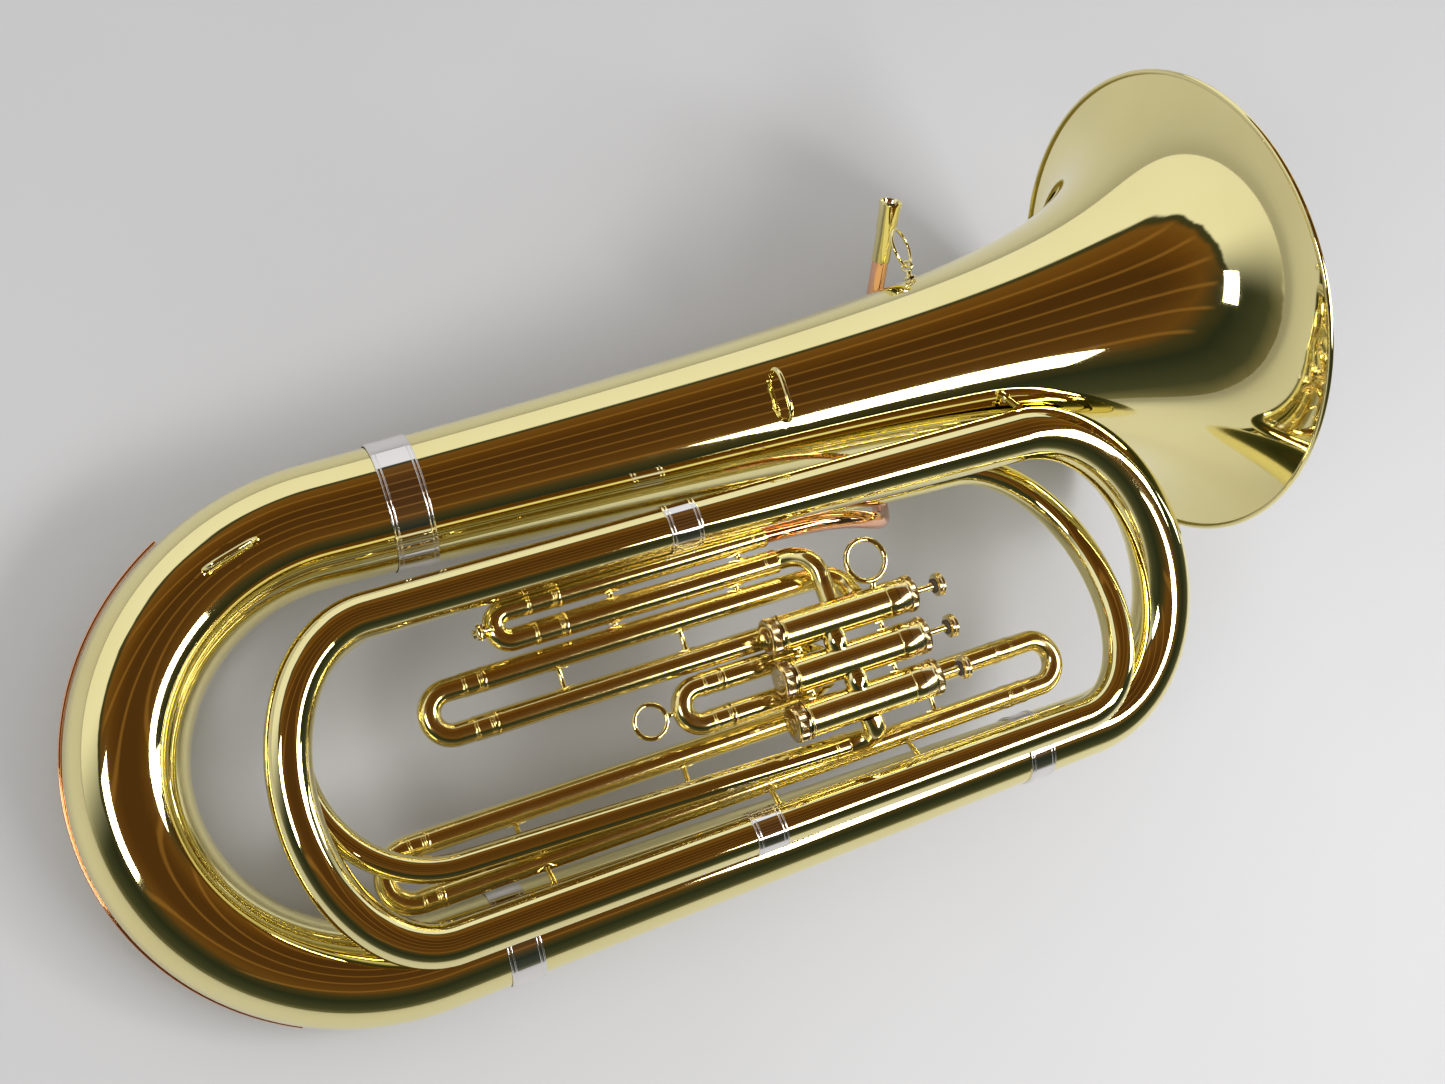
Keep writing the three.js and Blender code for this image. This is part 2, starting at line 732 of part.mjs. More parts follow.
// An eye on a short foot that stands on the bell.
function strapEyeGeometry() {
  const centre = strapEyeCentre();
  const eye = ringInPlane(STRAP_EYE.radius, STRAP_EYE.wire, centre, STRAP_HINGE, 10);
  const outwards = vec(0, centre.y, centre.z).normalize();
  const from = bellBearing(STRAP_EYE.x, STRAP_EYE.bearing, 1.4);
  const to = centre.clone().addScaledVector(outwards, -STRAP_EYE.radius);
  return joined(eye, rod(from, to, 2.6));
}

function strapRingGeometry() {
  const centre = strapEyeCentre().add(vec(0, STRAP_RING.radius, 0));
  return ringInPlane(STRAP_RING.radius, STRAP_RING.wire, centre, STRAP_RING_NORMAL);
}

// A staple of round wire on two feet, standing on a tube's front surface.
function strapLoopGeometry(centre, along, halfLength, height) {
  const foot = halfLength * 0.9;
  const at = (share, rise) => centre.clone().addScaledVector(along, share).add(vec(0, 0, rise));
  const line = smoothLine([
    at(-foot, 0),
    at(-halfLength, height * 0.45),
    at(-halfLength * 0.62, height),
    at(halfLength * 0.62, height),
    at(halfLength, height * 0.45),
    at(foot, 0),
  ], 12);
  return swept(line, () => LOOP_WIRE, 0, 6);
}

function bellLoopGeometry() {
  const x = 463;
  return strapLoopGeometry(vec(x, -1, bellRadius(x) - 1.6), AXIS_Y, 18, 16);
}

function bowLoopGeometry() {
  return strapLoopGeometry(vec(88, -10, 43.2), vec(0.957, 0.291, 0), 18, 14);
}

// Strut between the bell and the leg of the top bow that passes it.
function bellBraceGeometry() {
  const x = 633;
  const onBell = bellBearing(x, 128, 1.4);
  const onLeg = vec(x, -53.2, 68);
  return rod(onBell, onLeg, 2.4, 8);
}

function block(from, to) {
  const size = to.clone().sub(from);
  const geometry = new THREE.BoxGeometry(...size.toArray());
  geometry.translate(...from.clone().addScaledVector(size, 0.5).toArray());
  return closedSolid(geometry);
}

// Spout on the end of the main slide's bow, and the bracket whose two ears hold the key's pin.
function waterKeySaddleGeometry() {
  const { x, y, z, spoutZ, hole } = WATER_KEY;
  const spout = rod(vec(x + 2.6, y, spoutZ), vec(x - 0.2, y, spoutZ), 3, 12);
  const plate = block(vec(x + 1.8, y - 4.8, spoutZ - 3), vec(x + 3.3, y + 4.8, z - 2.4));
  const ears = [-4.8, 3.6].map((side) => (
    block(vec(x - 2.4, y + side, z - 4.4), vec(x + 3.3, y + side + 1.2, z + 2.4))
  ));
  const pinHole = rod(vec(x, y - 6, z), vec(x, y + 6, z), hole, 12);
  return cut(joined(spout, plate, ...ears), pinHole);
}

// Lever on a pin, with the pad that closes the spout.
function waterKeyLeverGeometry() {
  const { x, y, z, spoutZ, pin } = WATER_KEY;
  const pad = rod(vec(x - 0.5, y, spoutZ), vec(x - 3.3, y, spoutZ), 3.1, 12);
  const barrel = rod(vec(x, y - 3.3, z), vec(x, y + 3.3, z), 2, 12);
  const pinEnds = rod(vec(x, y - 5.4, z), vec(x, y + 5.4, z), pin, 8);
  const lower = swept([vec(x - 2.6, y, spoutZ), vec(x - 2.4, y, z - 4), vec(x, y, z)], () => 1.1, 0, 6);
  const upper = swept([vec(x, y, z), vec(x + 2, y, z + 3), vec(x + 8, y, z + 5)], () => 1.1, 0, 6);
  return joined(pad, barrel, pinEnds, lower, upper);
}

// ---------------------------------------------------------------- assembly

const instrument = new THREE.Group();

function addPiece(name, geometry, material, x = 0, y = 0, z = 0) {
  const mesh = new THREE.Mesh(geometry, material);
  mesh.name = name;
  mesh.position.set(x, y, z);
  instrument.add(mesh);
  return mesh;
}

function addBranches() {
  addPiece('bell', bellGeometry(), BRASS);
  addPiece('bottom_bow', bottomBowGeometry(), BRASS);
  addPiece('bow_guard', bowGuardGeometry(), ROSE_BRASS);
  addPiece('outer_branch', outerBranchGeometry(), BRASS);
  addPiece('top_bow', topBowGeometry(), BRASS);
  addPiece('inner_bottom_bow', innerBottomBowGeometry(), BRASS);
  addPiece('inner_top_bow', innerTopBowGeometry(), BRASS);
  addPiece('innermost_bow', innermostBowGeometry(), BRASS);
}

function addFerrules() {
  const bellTaper = bellSlope(JOINT_1.x);
  addPiece('ferrule_bell', ferruleGeometry(JOINT_1, bellTaper), NICKEL, JOINT_1.x, 0, 0);
  addPiece('ferrule_branch_low', ferruleGeometry(JOINT_2, -0.017), NICKEL, JOINT_2.x, BRANCH_Y, 0);
  addPiece('ferrule_branch_high', ferruleGeometry(JOINT_3, -0.017), NICKEL, JOINT_3.x, BRANCH_Y, 0);
  addPiece('ferrule_inner_leg', ferruleGeometry(JOINT_4, 0.007), NICKEL,
    JOINT_4.x, INNER_LEG.y, INNER_LEG.z);
  addPiece('ferrule_inner_return', ferruleGeometry(JOINT_5, -0.003), NICKEL,
    JOINT_5.x, INNER_RETURN.y, INNER_RETURN.z);
}

function addLeadpipe() {
  addPiece('leadpipe', leadpipeGeometry(), ROSE_BRASS);
  addPiece('mouthpiece_receiver', receiverGeometry(), BRASS);
}

function addSlides() {
  const { upper: mainUpper, sleeveX: mainX } = MAIN_SLIDE;
  addPiece('main_slide_upper_sleeve',
    straightSleeve(MAIN_SLIDE, mainUpper, mainX, LEADPIPE_START_X - GAP), BRASS);
  addPiece('main_slide_lower_sleeve', mainLowerSleeve(), BRASS);
  addPiece('main_slide_bow', slideBowGeometry(MAIN_SLIDE, 110, -1), BRASS);

  addPiece('first_slide_upper_sleeve', firstUpperSleeve(), BRASS);
  addPiece('first_slide_lower_sleeve', firstLowerSleeve(), BRASS);
  addPiece('first_slide_bow', slideBowGeometry(FIRST_SLIDE, 140, -1), BRASS);

  addPiece('second_slide_upper_sleeve',
    shortSleeveToCasing(SECOND_SLIDE, SECOND_SLIDE.upper, 436, 1), BRASS);
  addPiece('second_slide_lower_sleeve',
    shortSleeveToCasing(SECOND_SLIDE, SECOND_SLIDE.lower, 436, -1), BRASS);
  addPiece('second_slide_bow', slideBowGeometry(SECOND_SLIDE, 42, -1), BRASS);
  addPiece('second_slide_ring', pullRingGeometry(), BRASS);

  addPiece('third_slide_upper_left_sleeve',
    sleeveToCasingBack(THIRD_LEFT, THIRD_LEFT.upper, 431, VALVE_Y[2]), BRASS);
  addPiece('third_slide_upper_right_sleeve',
    sleeveToCasingBack(THIRD_RIGHT, THIRD_RIGHT.upper, 488, VALVE_Y[2]), BRASS);
  addPiece('third_slide_lower_sleeve', thirdLowerSleeve(), BRASS);
  addPiece('third_slide_left_bow', slideBowGeometry(THIRD_LEFT, 150, -1), BRASS);
  addPiece('third_slide_right_bow', slideBowGeometry(THIRD_RIGHT, 60, 1), BRASS);
}

function addValves() {
  VALVE_Y.forEach((y, i) => {
    const name = `valve_${i + 1}`;
    addPiece(`${name}_casing`, casingGeometry(i), BRASS, 0, y, VALVE_Z);
    addPiece(`${name}_bottom_cap`, bottomCapGeometry(), CAP_BRASS, 0, y, VALVE_Z);
    addPiece(`${name}_top_cap`, topCapGeometry(), CAP_BRASS, 0, y, VALVE_Z);
    addPiece(`${name}_piston`, pistonGeometry(), STEEL, 0, y, VALVE_Z);
    addPiece(`${name}_button`, buttonGeometry(), BRASS, 0, y, VALVE_Z);
    addPiece(`${name}_spring`, springGeometry(), STEEL, 0, y, VALVE_Z);
  });
  addPiece('valve_knuckle_1', knuckleGeometry(447, VALVE_Y[0], VALVE_Y[1]), BRASS);
  addPiece('valve_knuckle_2', knuckleGeometry(453, VALVE_Y[1], VALVE_Y[2]), BRASS);
  addPiece('valve_exit_elbow', exitElbowGeometry(), BRASS);
}

function addRings() {
  addPiece('thumb_ring', thumbRingGeometry(), BRASS);
  addPiece('bell_brace', bellBraceGeometry(), BRASS);
  addPiece('strap_eye', strapEyeGeometry(), BRASS);
  addPiece('strap_ring', strapRingGeometry(), BRASS);
  addPiece('strap_loop_bell', bellLoopGeometry(), BRASS);
  addPiece('strap_loop_bow', bowLoopGeometry(), BRASS);
}

function addWaterKey() {
  addPiece('water_key_saddle', waterKeySaddleGeometry(), BRASS);
  addPiece('water_key_lever', waterKeyLeverGeometry(), BRASS);
}

addBranches();
addFerrules();
addLeadpipe();
addSlides();
addValves();
addRings();
addWaterKey();

// ---------------------------------------------------------------- lying pose

const scene = new THREE.Group();
instrument.rotation.set(
  THREE.MathUtils.degToRad(LYING_ROLL),
  THREE.MathUtils.degToRad(-LYING_PITCH),
  0,
  'YXZ',
);
scene.add(instrument);
scene.updateMatrixWorld(true);

const extent = new THREE.Box3().setFromObject(scene, true);
const middle = extent.getCenter(vec(0, 0, 0));
instrument.position.set(-middle.x, -middle.y, -extent.min.z);

export default scene;
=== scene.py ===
"""Compact top-action piston tuba, lying on its bell rim and bottom bow.

Every shape is drawn in the instrument's own millimetres: x along the bell's axis towards its mouth, y from the
outer branch towards the bell, z towards the valve side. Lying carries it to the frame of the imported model.
"""

import logging
import math
from dataclasses import dataclass, field
from enum import Enum
from typing import Callable, Iterable, Sequence

import bmesh
import bpy
import numpy as np
from mathutils import Matrix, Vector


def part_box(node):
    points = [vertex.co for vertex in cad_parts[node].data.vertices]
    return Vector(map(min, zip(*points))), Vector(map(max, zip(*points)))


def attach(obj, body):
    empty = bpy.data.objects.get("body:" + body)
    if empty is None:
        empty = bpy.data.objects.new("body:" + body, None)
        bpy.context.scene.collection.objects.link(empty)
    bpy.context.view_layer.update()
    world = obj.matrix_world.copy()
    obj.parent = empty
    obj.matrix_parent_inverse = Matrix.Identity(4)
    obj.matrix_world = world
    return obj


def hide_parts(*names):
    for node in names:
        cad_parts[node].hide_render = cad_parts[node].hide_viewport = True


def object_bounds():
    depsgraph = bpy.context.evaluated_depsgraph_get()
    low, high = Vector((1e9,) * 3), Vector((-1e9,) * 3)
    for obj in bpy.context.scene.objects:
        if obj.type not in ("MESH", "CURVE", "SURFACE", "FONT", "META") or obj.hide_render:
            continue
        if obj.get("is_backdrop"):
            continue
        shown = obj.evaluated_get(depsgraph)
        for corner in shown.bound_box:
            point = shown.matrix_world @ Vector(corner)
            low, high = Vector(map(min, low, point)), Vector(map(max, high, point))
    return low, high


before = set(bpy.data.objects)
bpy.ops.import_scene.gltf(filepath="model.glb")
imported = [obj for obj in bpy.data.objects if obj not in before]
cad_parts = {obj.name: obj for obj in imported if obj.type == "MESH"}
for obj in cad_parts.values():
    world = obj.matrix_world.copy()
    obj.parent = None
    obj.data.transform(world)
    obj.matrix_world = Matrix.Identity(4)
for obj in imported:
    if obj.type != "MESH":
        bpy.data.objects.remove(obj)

LOG = logging.getLogger("tuba")
MM = 0.001
ROUND = 2 * math.pi
SLEEVE_RADIUS = 8.2
X_AXIS = np.array([1.0, 0.0, 0.0])
Y_AXIS = np.array([0.0, 1.0, 0.0])
Z_AXIS = np.array([0.0, 0.0, 1.0])

Profile = Sequence[tuple[float, float]]
Stop = tuple[float, tuple[float, float, float]]


def vec(x: float, y: float, z: float) -> np.ndarray:
    """A point or direction in the instrument's millimetres."""
    return np.array([x, y, z], dtype=float)


def unit(v: np.ndarray) -> np.ndarray:
    """The same direction at length one."""
    return v / np.linalg.norm(v)


# ---------------------------------------------------------------- lying pose


@dataclass(frozen=True)
class Lying:
    """How the instrument lies: its turn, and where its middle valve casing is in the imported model."""

    pitch: float = math.radians(8.313)
    roll: float = math.radians(8.358)
    anchor: str = "valve_2_casing"
    anchor_point: tuple[float, float, float] = (454.0, -187.0, 58.0)

    def turn(self) -> np.ndarray:
        """Rotation from the instrument's axes to the row's.

        Returns:
            A 3 by 3 matrix.
        """
        cp, sp = math.cos(self.pitch), math.sin(self.pitch)
        cr, sr = math.cos(self.roll), math.sin(self.roll)
        pitching = np.array([[cp, 0.0, -sp], [0.0, 1.0, 0.0], [sp, 0.0, cp]])
        rolling = np.array([[1.0, 0.0, 0.0], [0.0, cr, -sr], [0.0, sr, cr]])
        return pitching @ rolling

    def shift(self) -> np.ndarray:
        """Row position, in metres, of the instrument's origin.

        Returns:
            The point.
        """
        low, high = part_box(self.anchor)
        centre = (np.array(low) + np.array(high)) / 2
        return centre - self.turn() @ np.array(self.anchor_point) * MM

    def place(self, points: np.ndarray) -> np.ndarray:
        """Carries points from instrument millimetres to row metres."""
        return points @ self.turn().T * MM + self.shift()


LYING = Lying()


# ---------------------------------------------------------------- drawing meshes


@dataclass
class Sketch:
    """Faces being drawn, in the instrument's millimetres."""

    points: list[np.ndarray] = field(default_factory=list)
    faces: list[tuple[int, ...]] = field(default_factory=list)
    count: int = 0

    def add(self, points: np.ndarray, faces: Iterable[tuple[int, ...]]) -> None:
        """Appends points and the faces between them.

        Args:
            points: n by 3 array.
            faces: tuples of indices into points.
        """
        self.faces.extend(tuple(i + self.count for i in face) for face in faces)
        self.points.append(points)
        self.count += len(points)

    def grid(self, rows: np.ndarray, close_rows: bool = False, close_columns: bool = True) -> None:
        """Skins a grid of points.

        Args:
            rows: m by n by 3 array of points.
            close_rows: joins the last row to the first.
            close_columns: joins the last column to the first.
        """
        m, n, _ = rows.shape
        faces = []
        for i in range(m if close_rows else m - 1):
            for k in range(n if close_columns else n - 1):
                a, b = i * n + k, i * n + (k + 1) % n
                c, d = ((i + 1) % m) * n + (k + 1) % n, ((i + 1) % m) * n + k
                faces.append((a, b, c, d))
        self.add(rows.reshape(-1, 3), faces)

    def turned(
        self,
        profile: Profile,
        origin: np.ndarray = np.zeros(3),
        axis: np.ndarray = X_AXIS,
        segments: int = 64,
        closed: bool = False,
    ) -> None:
        """A body of revolution.

        Args:
            profile: pairs of distance along the axis and radius.
            origin: where distance zero is.
            axis: direction of the axis.
            segments: faces round the axis.
            closed: joins the profile's end to its start, for a ring or sleeve.
        """
        side = unit(np.cross(axis, Y_AXIS if abs(axis[1]) < 0.9 else Z_AXIS))
        other = np.cross(axis, side)
        angles = np.arange(segments) * ROUND / segments
        circle = np.outer(np.cos(angles), side) + np.outer(np.sin(angles), other)
        rows = np.array([origin + axis * along + circle * radius for along, radius in profile])
        self.grid(rows, close_rows=closed)

    def torus(self, centre: np.ndarray, normal: np.ndarray, radius: float, wire: float, flat: float = 1.0) -> None:
        """A ring of round wire.

        Args:
            centre: middle of the ring.
            normal: direction square to its plane.
            radius: from the middle to the wire's centre.
            wire: half the wire's thickness.
            flat: how much thinner the wire is along the normal.
        """
        angles = np.arange(16) * ROUND / 16
        profile = [(wire * flat * math.sin(a), radius + wire * math.cos(a)) for a in angles]
        self.turned(profile, centre, unit(normal), 56, closed=True)

    def swept(self, line: np.ndarray, radius_at: Callable[[float], float], sides: int = 14, flat: float = 1.0) -> None:
        """A solid rod along a line, its two ends rounded.

        Args:
            line: n by 3 array of stations.
            radius_at: radius at a share of the length.
            sides: faces round the rod.
            flat: thickness across the first side direction, as a share of the radius.
        """
        tangents = unit_rows(np.gradient(line, axis=0))
        steps = np.linalg.norm(np.diff(line, axis=0), axis=1)
        shares = np.concatenate([[0.0], np.cumsum(steps)]) / steps.sum()
        across = Z_AXIS if abs(tangents[0][2]) < 0.8 else Y_AXIS
        angles = np.arange(sides) * ROUND / sides
        rows = []
        for point, tangent, share in zip(line, tangents, shares):
            across = unit(across - tangent * float(across @ tangent))
            third = np.cross(tangent, across)
            circle = np.outer(np.cos(angles) * flat, across) + np.outer(np.sin(angles), third)
            rows.append((point, tangent, circle, radius_at(float(share))))
        ends = [(-0.6, 0.0), (-0.45, 0.6), (-0.2, 0.9)]
        first, last = rows[0], rows[-1]
        head = [first[0] + first[1] * first[3] * a + first[2] * first[3] * b for a, b in ends]
        body = [point + circle * radius for point, _, circle, radius in rows]
        tail = [last[0] - last[1] * last[3] * a + last[2] * last[3] * b for a, b in reversed(ends)]
        self.grid(np.array(head + body + tail))

    def mesh(self) -> bpy.types.Mesh:
        """The sketch as a Blender mesh in the row's metres, merged and with its normals outwards.

        Returns:
            The mesh.
        """
        mesh = bpy.data.meshes.new("sketch")
        placed = LYING.place(np.vstack(self.points))
        mesh.from_pydata(placed.tolist(), [], self.faces)
        return mended(mesh)


def unit_rows(rows: np.ndarray) -> np.ndarray:
    """Each row at length one."""
    return rows / np.linalg.norm(rows, axis=1, keepdims=True)


def mended(mesh: bpy.types.Mesh) -> bpy.types.Mesh:
    """Merges doubles, drops empty faces and turns every face outwards.

    Args:
        mesh: the mesh to mend in place.

    Returns:
        The same mesh.
    """
    work = bmesh.new()
    work.from_mesh(mesh)
    bmesh.ops.remove_doubles(work, verts=work.verts, dist=2e-6)
    bmesh.ops.dissolve_degenerate(work, edges=work.edges, dist=1e-6)
    bmesh.ops.recalc_face_normals(work, faces=work.faces)
    work.to_mesh(mesh)
    work.free()
    return mesh


# ---------------------------------------------------------------- lines and profiles


def bow_line(start: np.ndarray, end: np.ndarray, reach: float, steps: int, lean: float = 0.0) -> np.ndarray:
    """Half an ellipse between two leg ends.

    Args:
        start: end of the first leg.
        end: end of the second leg.
        reach: how far it bulges along x.
        steps: number of stretches.
        lean: how far its ends are sheared along x.

    Returns:
        Stations from start to end.
    """
    middle, half = (start + end) / 2, (end - start) / 2
    angles = np.linspace(-math.pi / 2, math.pi / 2, steps + 1)
    line = middle + np.outer(np.sin(angles), half)
    line[:, 0] += reach * np.cos(angles) + lean * np.sin(angles)
    return line


def smooth_line(points: Sequence[np.ndarray], steps: int) -> np.ndarray:
    """A centripetal Catmull-Rom line through points.

    Args:
        points: the points to pass through.
        steps: stretches between two neighbouring points.

    Returns:
        Stations along the line.
    """
    knots = [2 * points[0] - points[1], *points, 2 * points[-1] - points[-2]]
    out = []
    for p0, p1, p2, p3 in zip(knots, knots[1:], knots[2:], knots[3:]):
        t1 = np.linalg.norm(p1 - p0) ** 0.5
        t2 = t1 + np.linalg.norm(p2 - p1) ** 0.5
        t3 = t2 + np.linalg.norm(p3 - p2) ** 0.5
        for t in np.linspace(t1, t2, steps, endpoint=False):
            a1 = (t1 - t) / t1 * p0 + t / t1 * p1
            a2 = (t2 - t) / (t2 - t1) * p1 + (t - t1) / (t2 - t1) * p2
            a3 = (t3 - t) / (t3 - t2) * p2 + (t - t2) / (t3 - t2) * p3
            b1 = (t2 - t) / t2 * a1 + t / t2 * a2
            b2 = (t3 - t) / (t3 - t1) * a2 + (t - t1) / (t3 - t1) * a3
            out.append((t2 - t) / (t2 - t1) * b1 + (t - t1) / (t2 - t1) * b2)
    return np.array([*out, points[-1]])


def straight(start: np.ndarray, end: np.ndarray, steps: int = 2) -> np.ndarray:
    """Evenly spaced stations from start to end, the last one left out."""
    return start + np.outer(np.linspace(0, 1, steps, endpoint=False), end - start)


def bead(along: float, radius: float, size: float, steps: int = 6) -> list[tuple[float, float]]:
    """A half-round line that stands on a turned surface.

    Args:
        along: its middle.
        radius: the surface it stands on.
        size: half its width.
        steps: number of stretches.

    Returns:
        Profile points.
    """
    angles = [math.pi - math.pi * i / steps for i in range(steps + 1)]
    return [(along + size * math.cos(a), radius + size * math.sin(a) * 0.8) for a in angles]


# ---------------------------------------------------------------- finishes


def node_of(tree: bpy.types.NodeTree, kind: str, **values: object) -> bpy.types.Node:
    """Adds a node and sets its properties or inputs.

    Args:
        tree: the tree it goes in.
        kind: the node's type name.
        **values: properties by name, or inputs as in_NAME with spaces written as underscores.

    Returns:
        The node.
    """
    node = tree.nodes.new(kind)
    for key, value in values.items():
        if key.startswith("in_"):
            node.inputs[key[3:].replace("_", " ")].default_value = value
        else:
            setattr(node, key, value)
    return node


def socket(tree: bpy.types.NodeTree, name: str, kind: str, out: bool = False, value: object = None) -> None:
    """Makes one socket of a node group.

    Args:
        tree: the group.
        name: the socket's name.
        kind: the socket's type name.
        out: whether it is an output.
        value: its default.
    """
    made = tree.interface.new_socket(name=name, in_out="OUTPUT" if out else "INPUT", socket_type=kind)
    if value is not None:
        made.default_value = value


def handling_marks() -> bpy.types.NodeTree:
    """Shader group for handled metal.

    Returns:
        A group that gives a mottled colour, a roughness with smears and hairline scratches, and a height for bump.
    """
    name = "handling_marks"
    if name in bpy.data.node_groups:
        return bpy.data.node_groups[name]
    tree = bpy.data.node_groups.new(name, "ShaderNodeTree")
    socket(tree, "Clean Color", "NodeSocketColor")
    socket(tree, "Toned Color", "NodeSocketColor")
    socket(tree, "Base Roughness", "NodeSocketFloat", value=0.08)
    socket(tree, "Smear", "NodeSocketFloat", value=0.05)
    socket(tree, "Tone", "NodeSocketFloat", value=0.3)
    socket(tree, "Color", "NodeSocketColor", out=True)
    socket(tree, "Roughness", "NodeSocketFloat", out=True)
    socket(tree, "Height", "NodeSocketFloat", out=True)
    link = tree.links.new
    given = node_of(tree, "NodeGroupInput")
    result = node_of(tree, "NodeGroupOutput")
    place = node_of(tree, "ShaderNodeTexCoord").outputs["Object"]

    patches = node_of(tree, "ShaderNodeTexNoise", in_Scale=9.0, in_Detail=3.0, in_Roughness=0.5)
    link(place, patches.inputs["Vector"])
    toned = node_of(tree, "ShaderNodeMapRange")
    toned.inputs["From Min"].default_value = 0.42
    toned.inputs["From Max"].default_value = 0.72
    link(patches.outputs["Fac"], toned.inputs["Value"])
    share = node_of(tree, "ShaderNodeMath", operation="MULTIPLY")
    link(toned.outputs["Result"], share.inputs[0])
    link(given.outputs["Tone"], share.inputs[1])
    tint = node_of(tree, "ShaderNodeMix", data_type="RGBA")
    link(share.outputs[0], tint.inputs["Factor"])
    link(given.outputs["Clean Color"], tint.inputs["A"])
    link(given.outputs["Toned Color"], tint.inputs["B"])
    link(tint.outputs["Result"], result.inputs["Color"])

    smears = node_of(tree, "ShaderNodeTexNoise", in_Scale=34.0, in_Detail=5.0, in_Distortion=1.4)
    link(place, smears.inputs["Vector"])
    smeared = node_of(tree, "ShaderNodeMapRange")
    smeared.inputs["From Min"].default_value = 0.48
    smeared.inputs["From Max"].default_value = 0.8
    link(smears.outputs["Fac"], smeared.inputs["Value"])
    stretch = node_of(tree, "ShaderNodeMapping")
    stretch.inputs["Scale"].default_value = (40.0, 900.0, 900.0)
    stretch.inputs["Rotation"].default_value = (0.3, 0.2, 0.5)
    link(place, stretch.inputs["Vector"])
    hairs = node_of(tree, "ShaderNodeTexNoise", in_Scale=1.0, in_Detail=2.0)
    link(stretch.outputs["Vector"], hairs.inputs["Vector"])
    scratched = node_of(tree, "ShaderNodeMapRange")
    scratched.inputs["From Min"].default_value = 0.66
    scratched.inputs["From Max"].default_value = 0.72
    link(hairs.outputs["Fac"], scratched.inputs["Value"])
    worn = node_of(tree, "ShaderNodeMath", operation="MULTIPLY_ADD")
    link(scratched.outputs["Result"], worn.inputs[0])
    worn.inputs[1].default_value = 0.35
    link(smeared.outputs["Result"], worn.inputs[2])
    rough = node_of(tree, "ShaderNodeMath", operation="MULTIPLY_ADD")
    link(worn.outputs[0], rough.inputs[0])
    link(given.outputs["Smear"], rough.inputs[1])
    link(given.outputs["Base Roughness"], rough.inputs[2])
    link(rough.outputs[0], result.inputs["Roughness"])

    ripple = node_of(tree, "ShaderNodeTexNoise", in_Scale=60.0, in_Detail=1.0)
    link(place, ripple.inputs["Vector"])
    height = node_of(tree, "ShaderNodeMath", operation="MULTIPLY_ADD")
    link(scratched.outputs["Result"], height.inputs[0])
    height.inputs[1].default_value = -0.12
    link(ripple.outputs["Fac"], height.inputs[2])
    link(height.outputs[0], result.inputs["Height"])
    return tree


@dataclass(frozen=True)
class MetalFinish:
    """A polished, lacquered or worn metal."""

    name: str
    color: tuple[float, float, float]
    toned: tuple[float, float, float]
    roughness: float
    smear: float
    tone: float
    bump: float = 0.012

    def material(self) -> bpy.types.Material:
        """Builds the material once, then hands back the same one.

        Returns:
            The material.
        """
        if self.name in bpy.data.materials:
            return bpy.data.materials[self.name]
        made = bpy.data.materials.new(self.name)
        made.use_nodes = True
        tree = made.node_tree
        shader = tree.nodes["Principled BSDF"]
        shader.inputs["Metallic"].default_value = 1.0
        marks = node_of(tree, "ShaderNodeGroup", node_tree=handling_marks())
        marks.inputs["Clean Color"].default_value = (*self.color, 1.0)
        marks.inputs["Toned Color"].default_value = (*self.toned, 1.0)
        marks.inputs["Base Roughness"].default_value = self.roughness
        marks.inputs["Smear"].default_value = self.smear
        marks.inputs["Tone"].default_value = self.tone
        bump = node_of(tree, "ShaderNodeBump", in_Strength=1.0, in_Distance=self.bump * MM)
        tree.links.new(marks.outputs["Color"], shader.inputs["Base Color"])
        tree.links.new(marks.outputs["Roughness"], shader.inputs["Roughness"])
        tree.links.new(marks.outputs["Height"], bump.inputs["Height"])
        tree.links.new(bump.outputs["Normal"], shader.inputs["Normal"])
        return made


@dataclass(frozen=True)
class SoftFinish:
    """Felt, cork or another dull, grainy stuff."""

    name: str
    color: tuple[float, float, float]
    grain_color: tuple[float, float, float]
    grain: float

    def material(self) -> bpy.types.Material:
        """Builds the material once, then hands back the same one.

        Returns:
            The material.
        """
        if self.name in bpy.data.materials:
            return bpy.data.materials[self.name]
        made = bpy.data.materials.new(self.name)
        made.use_nodes = True
        tree = made.node_tree
        shader = tree.nodes["Principled BSDF"]
        shader.inputs["Roughness"].default_value = 0.92
        place = node_of(tree, "ShaderNodeTexCoord").outputs["Object"]
        grains = node_of(tree, "ShaderNodeTexNoise", in_Scale=self.grain, in_Detail=4.0)
        mix = node_of(tree, "ShaderNodeMix", data_type="RGBA")
        mix.inputs["A"].default_value = (*self.color, 1.0)
        mix.inputs["B"].default_value = (*self.grain_color, 1.0)
        bump = node_of(tree, "ShaderNodeBump", in_Strength=0.6, in_Distance=0.3 * MM)
        tree.links.new(place, grains.inputs["Vector"])
        tree.links.new(grains.outputs["Fac"], mix.inputs["Factor"])
        tree.links.new(mix.outputs["Result"], shader.inputs["Base Color"])
        tree.links.new(grains.outputs["Fac"], bump.inputs["Height"])
        tree.links.new(bump.outputs["Normal"], shader.inputs["Normal"])
        return made


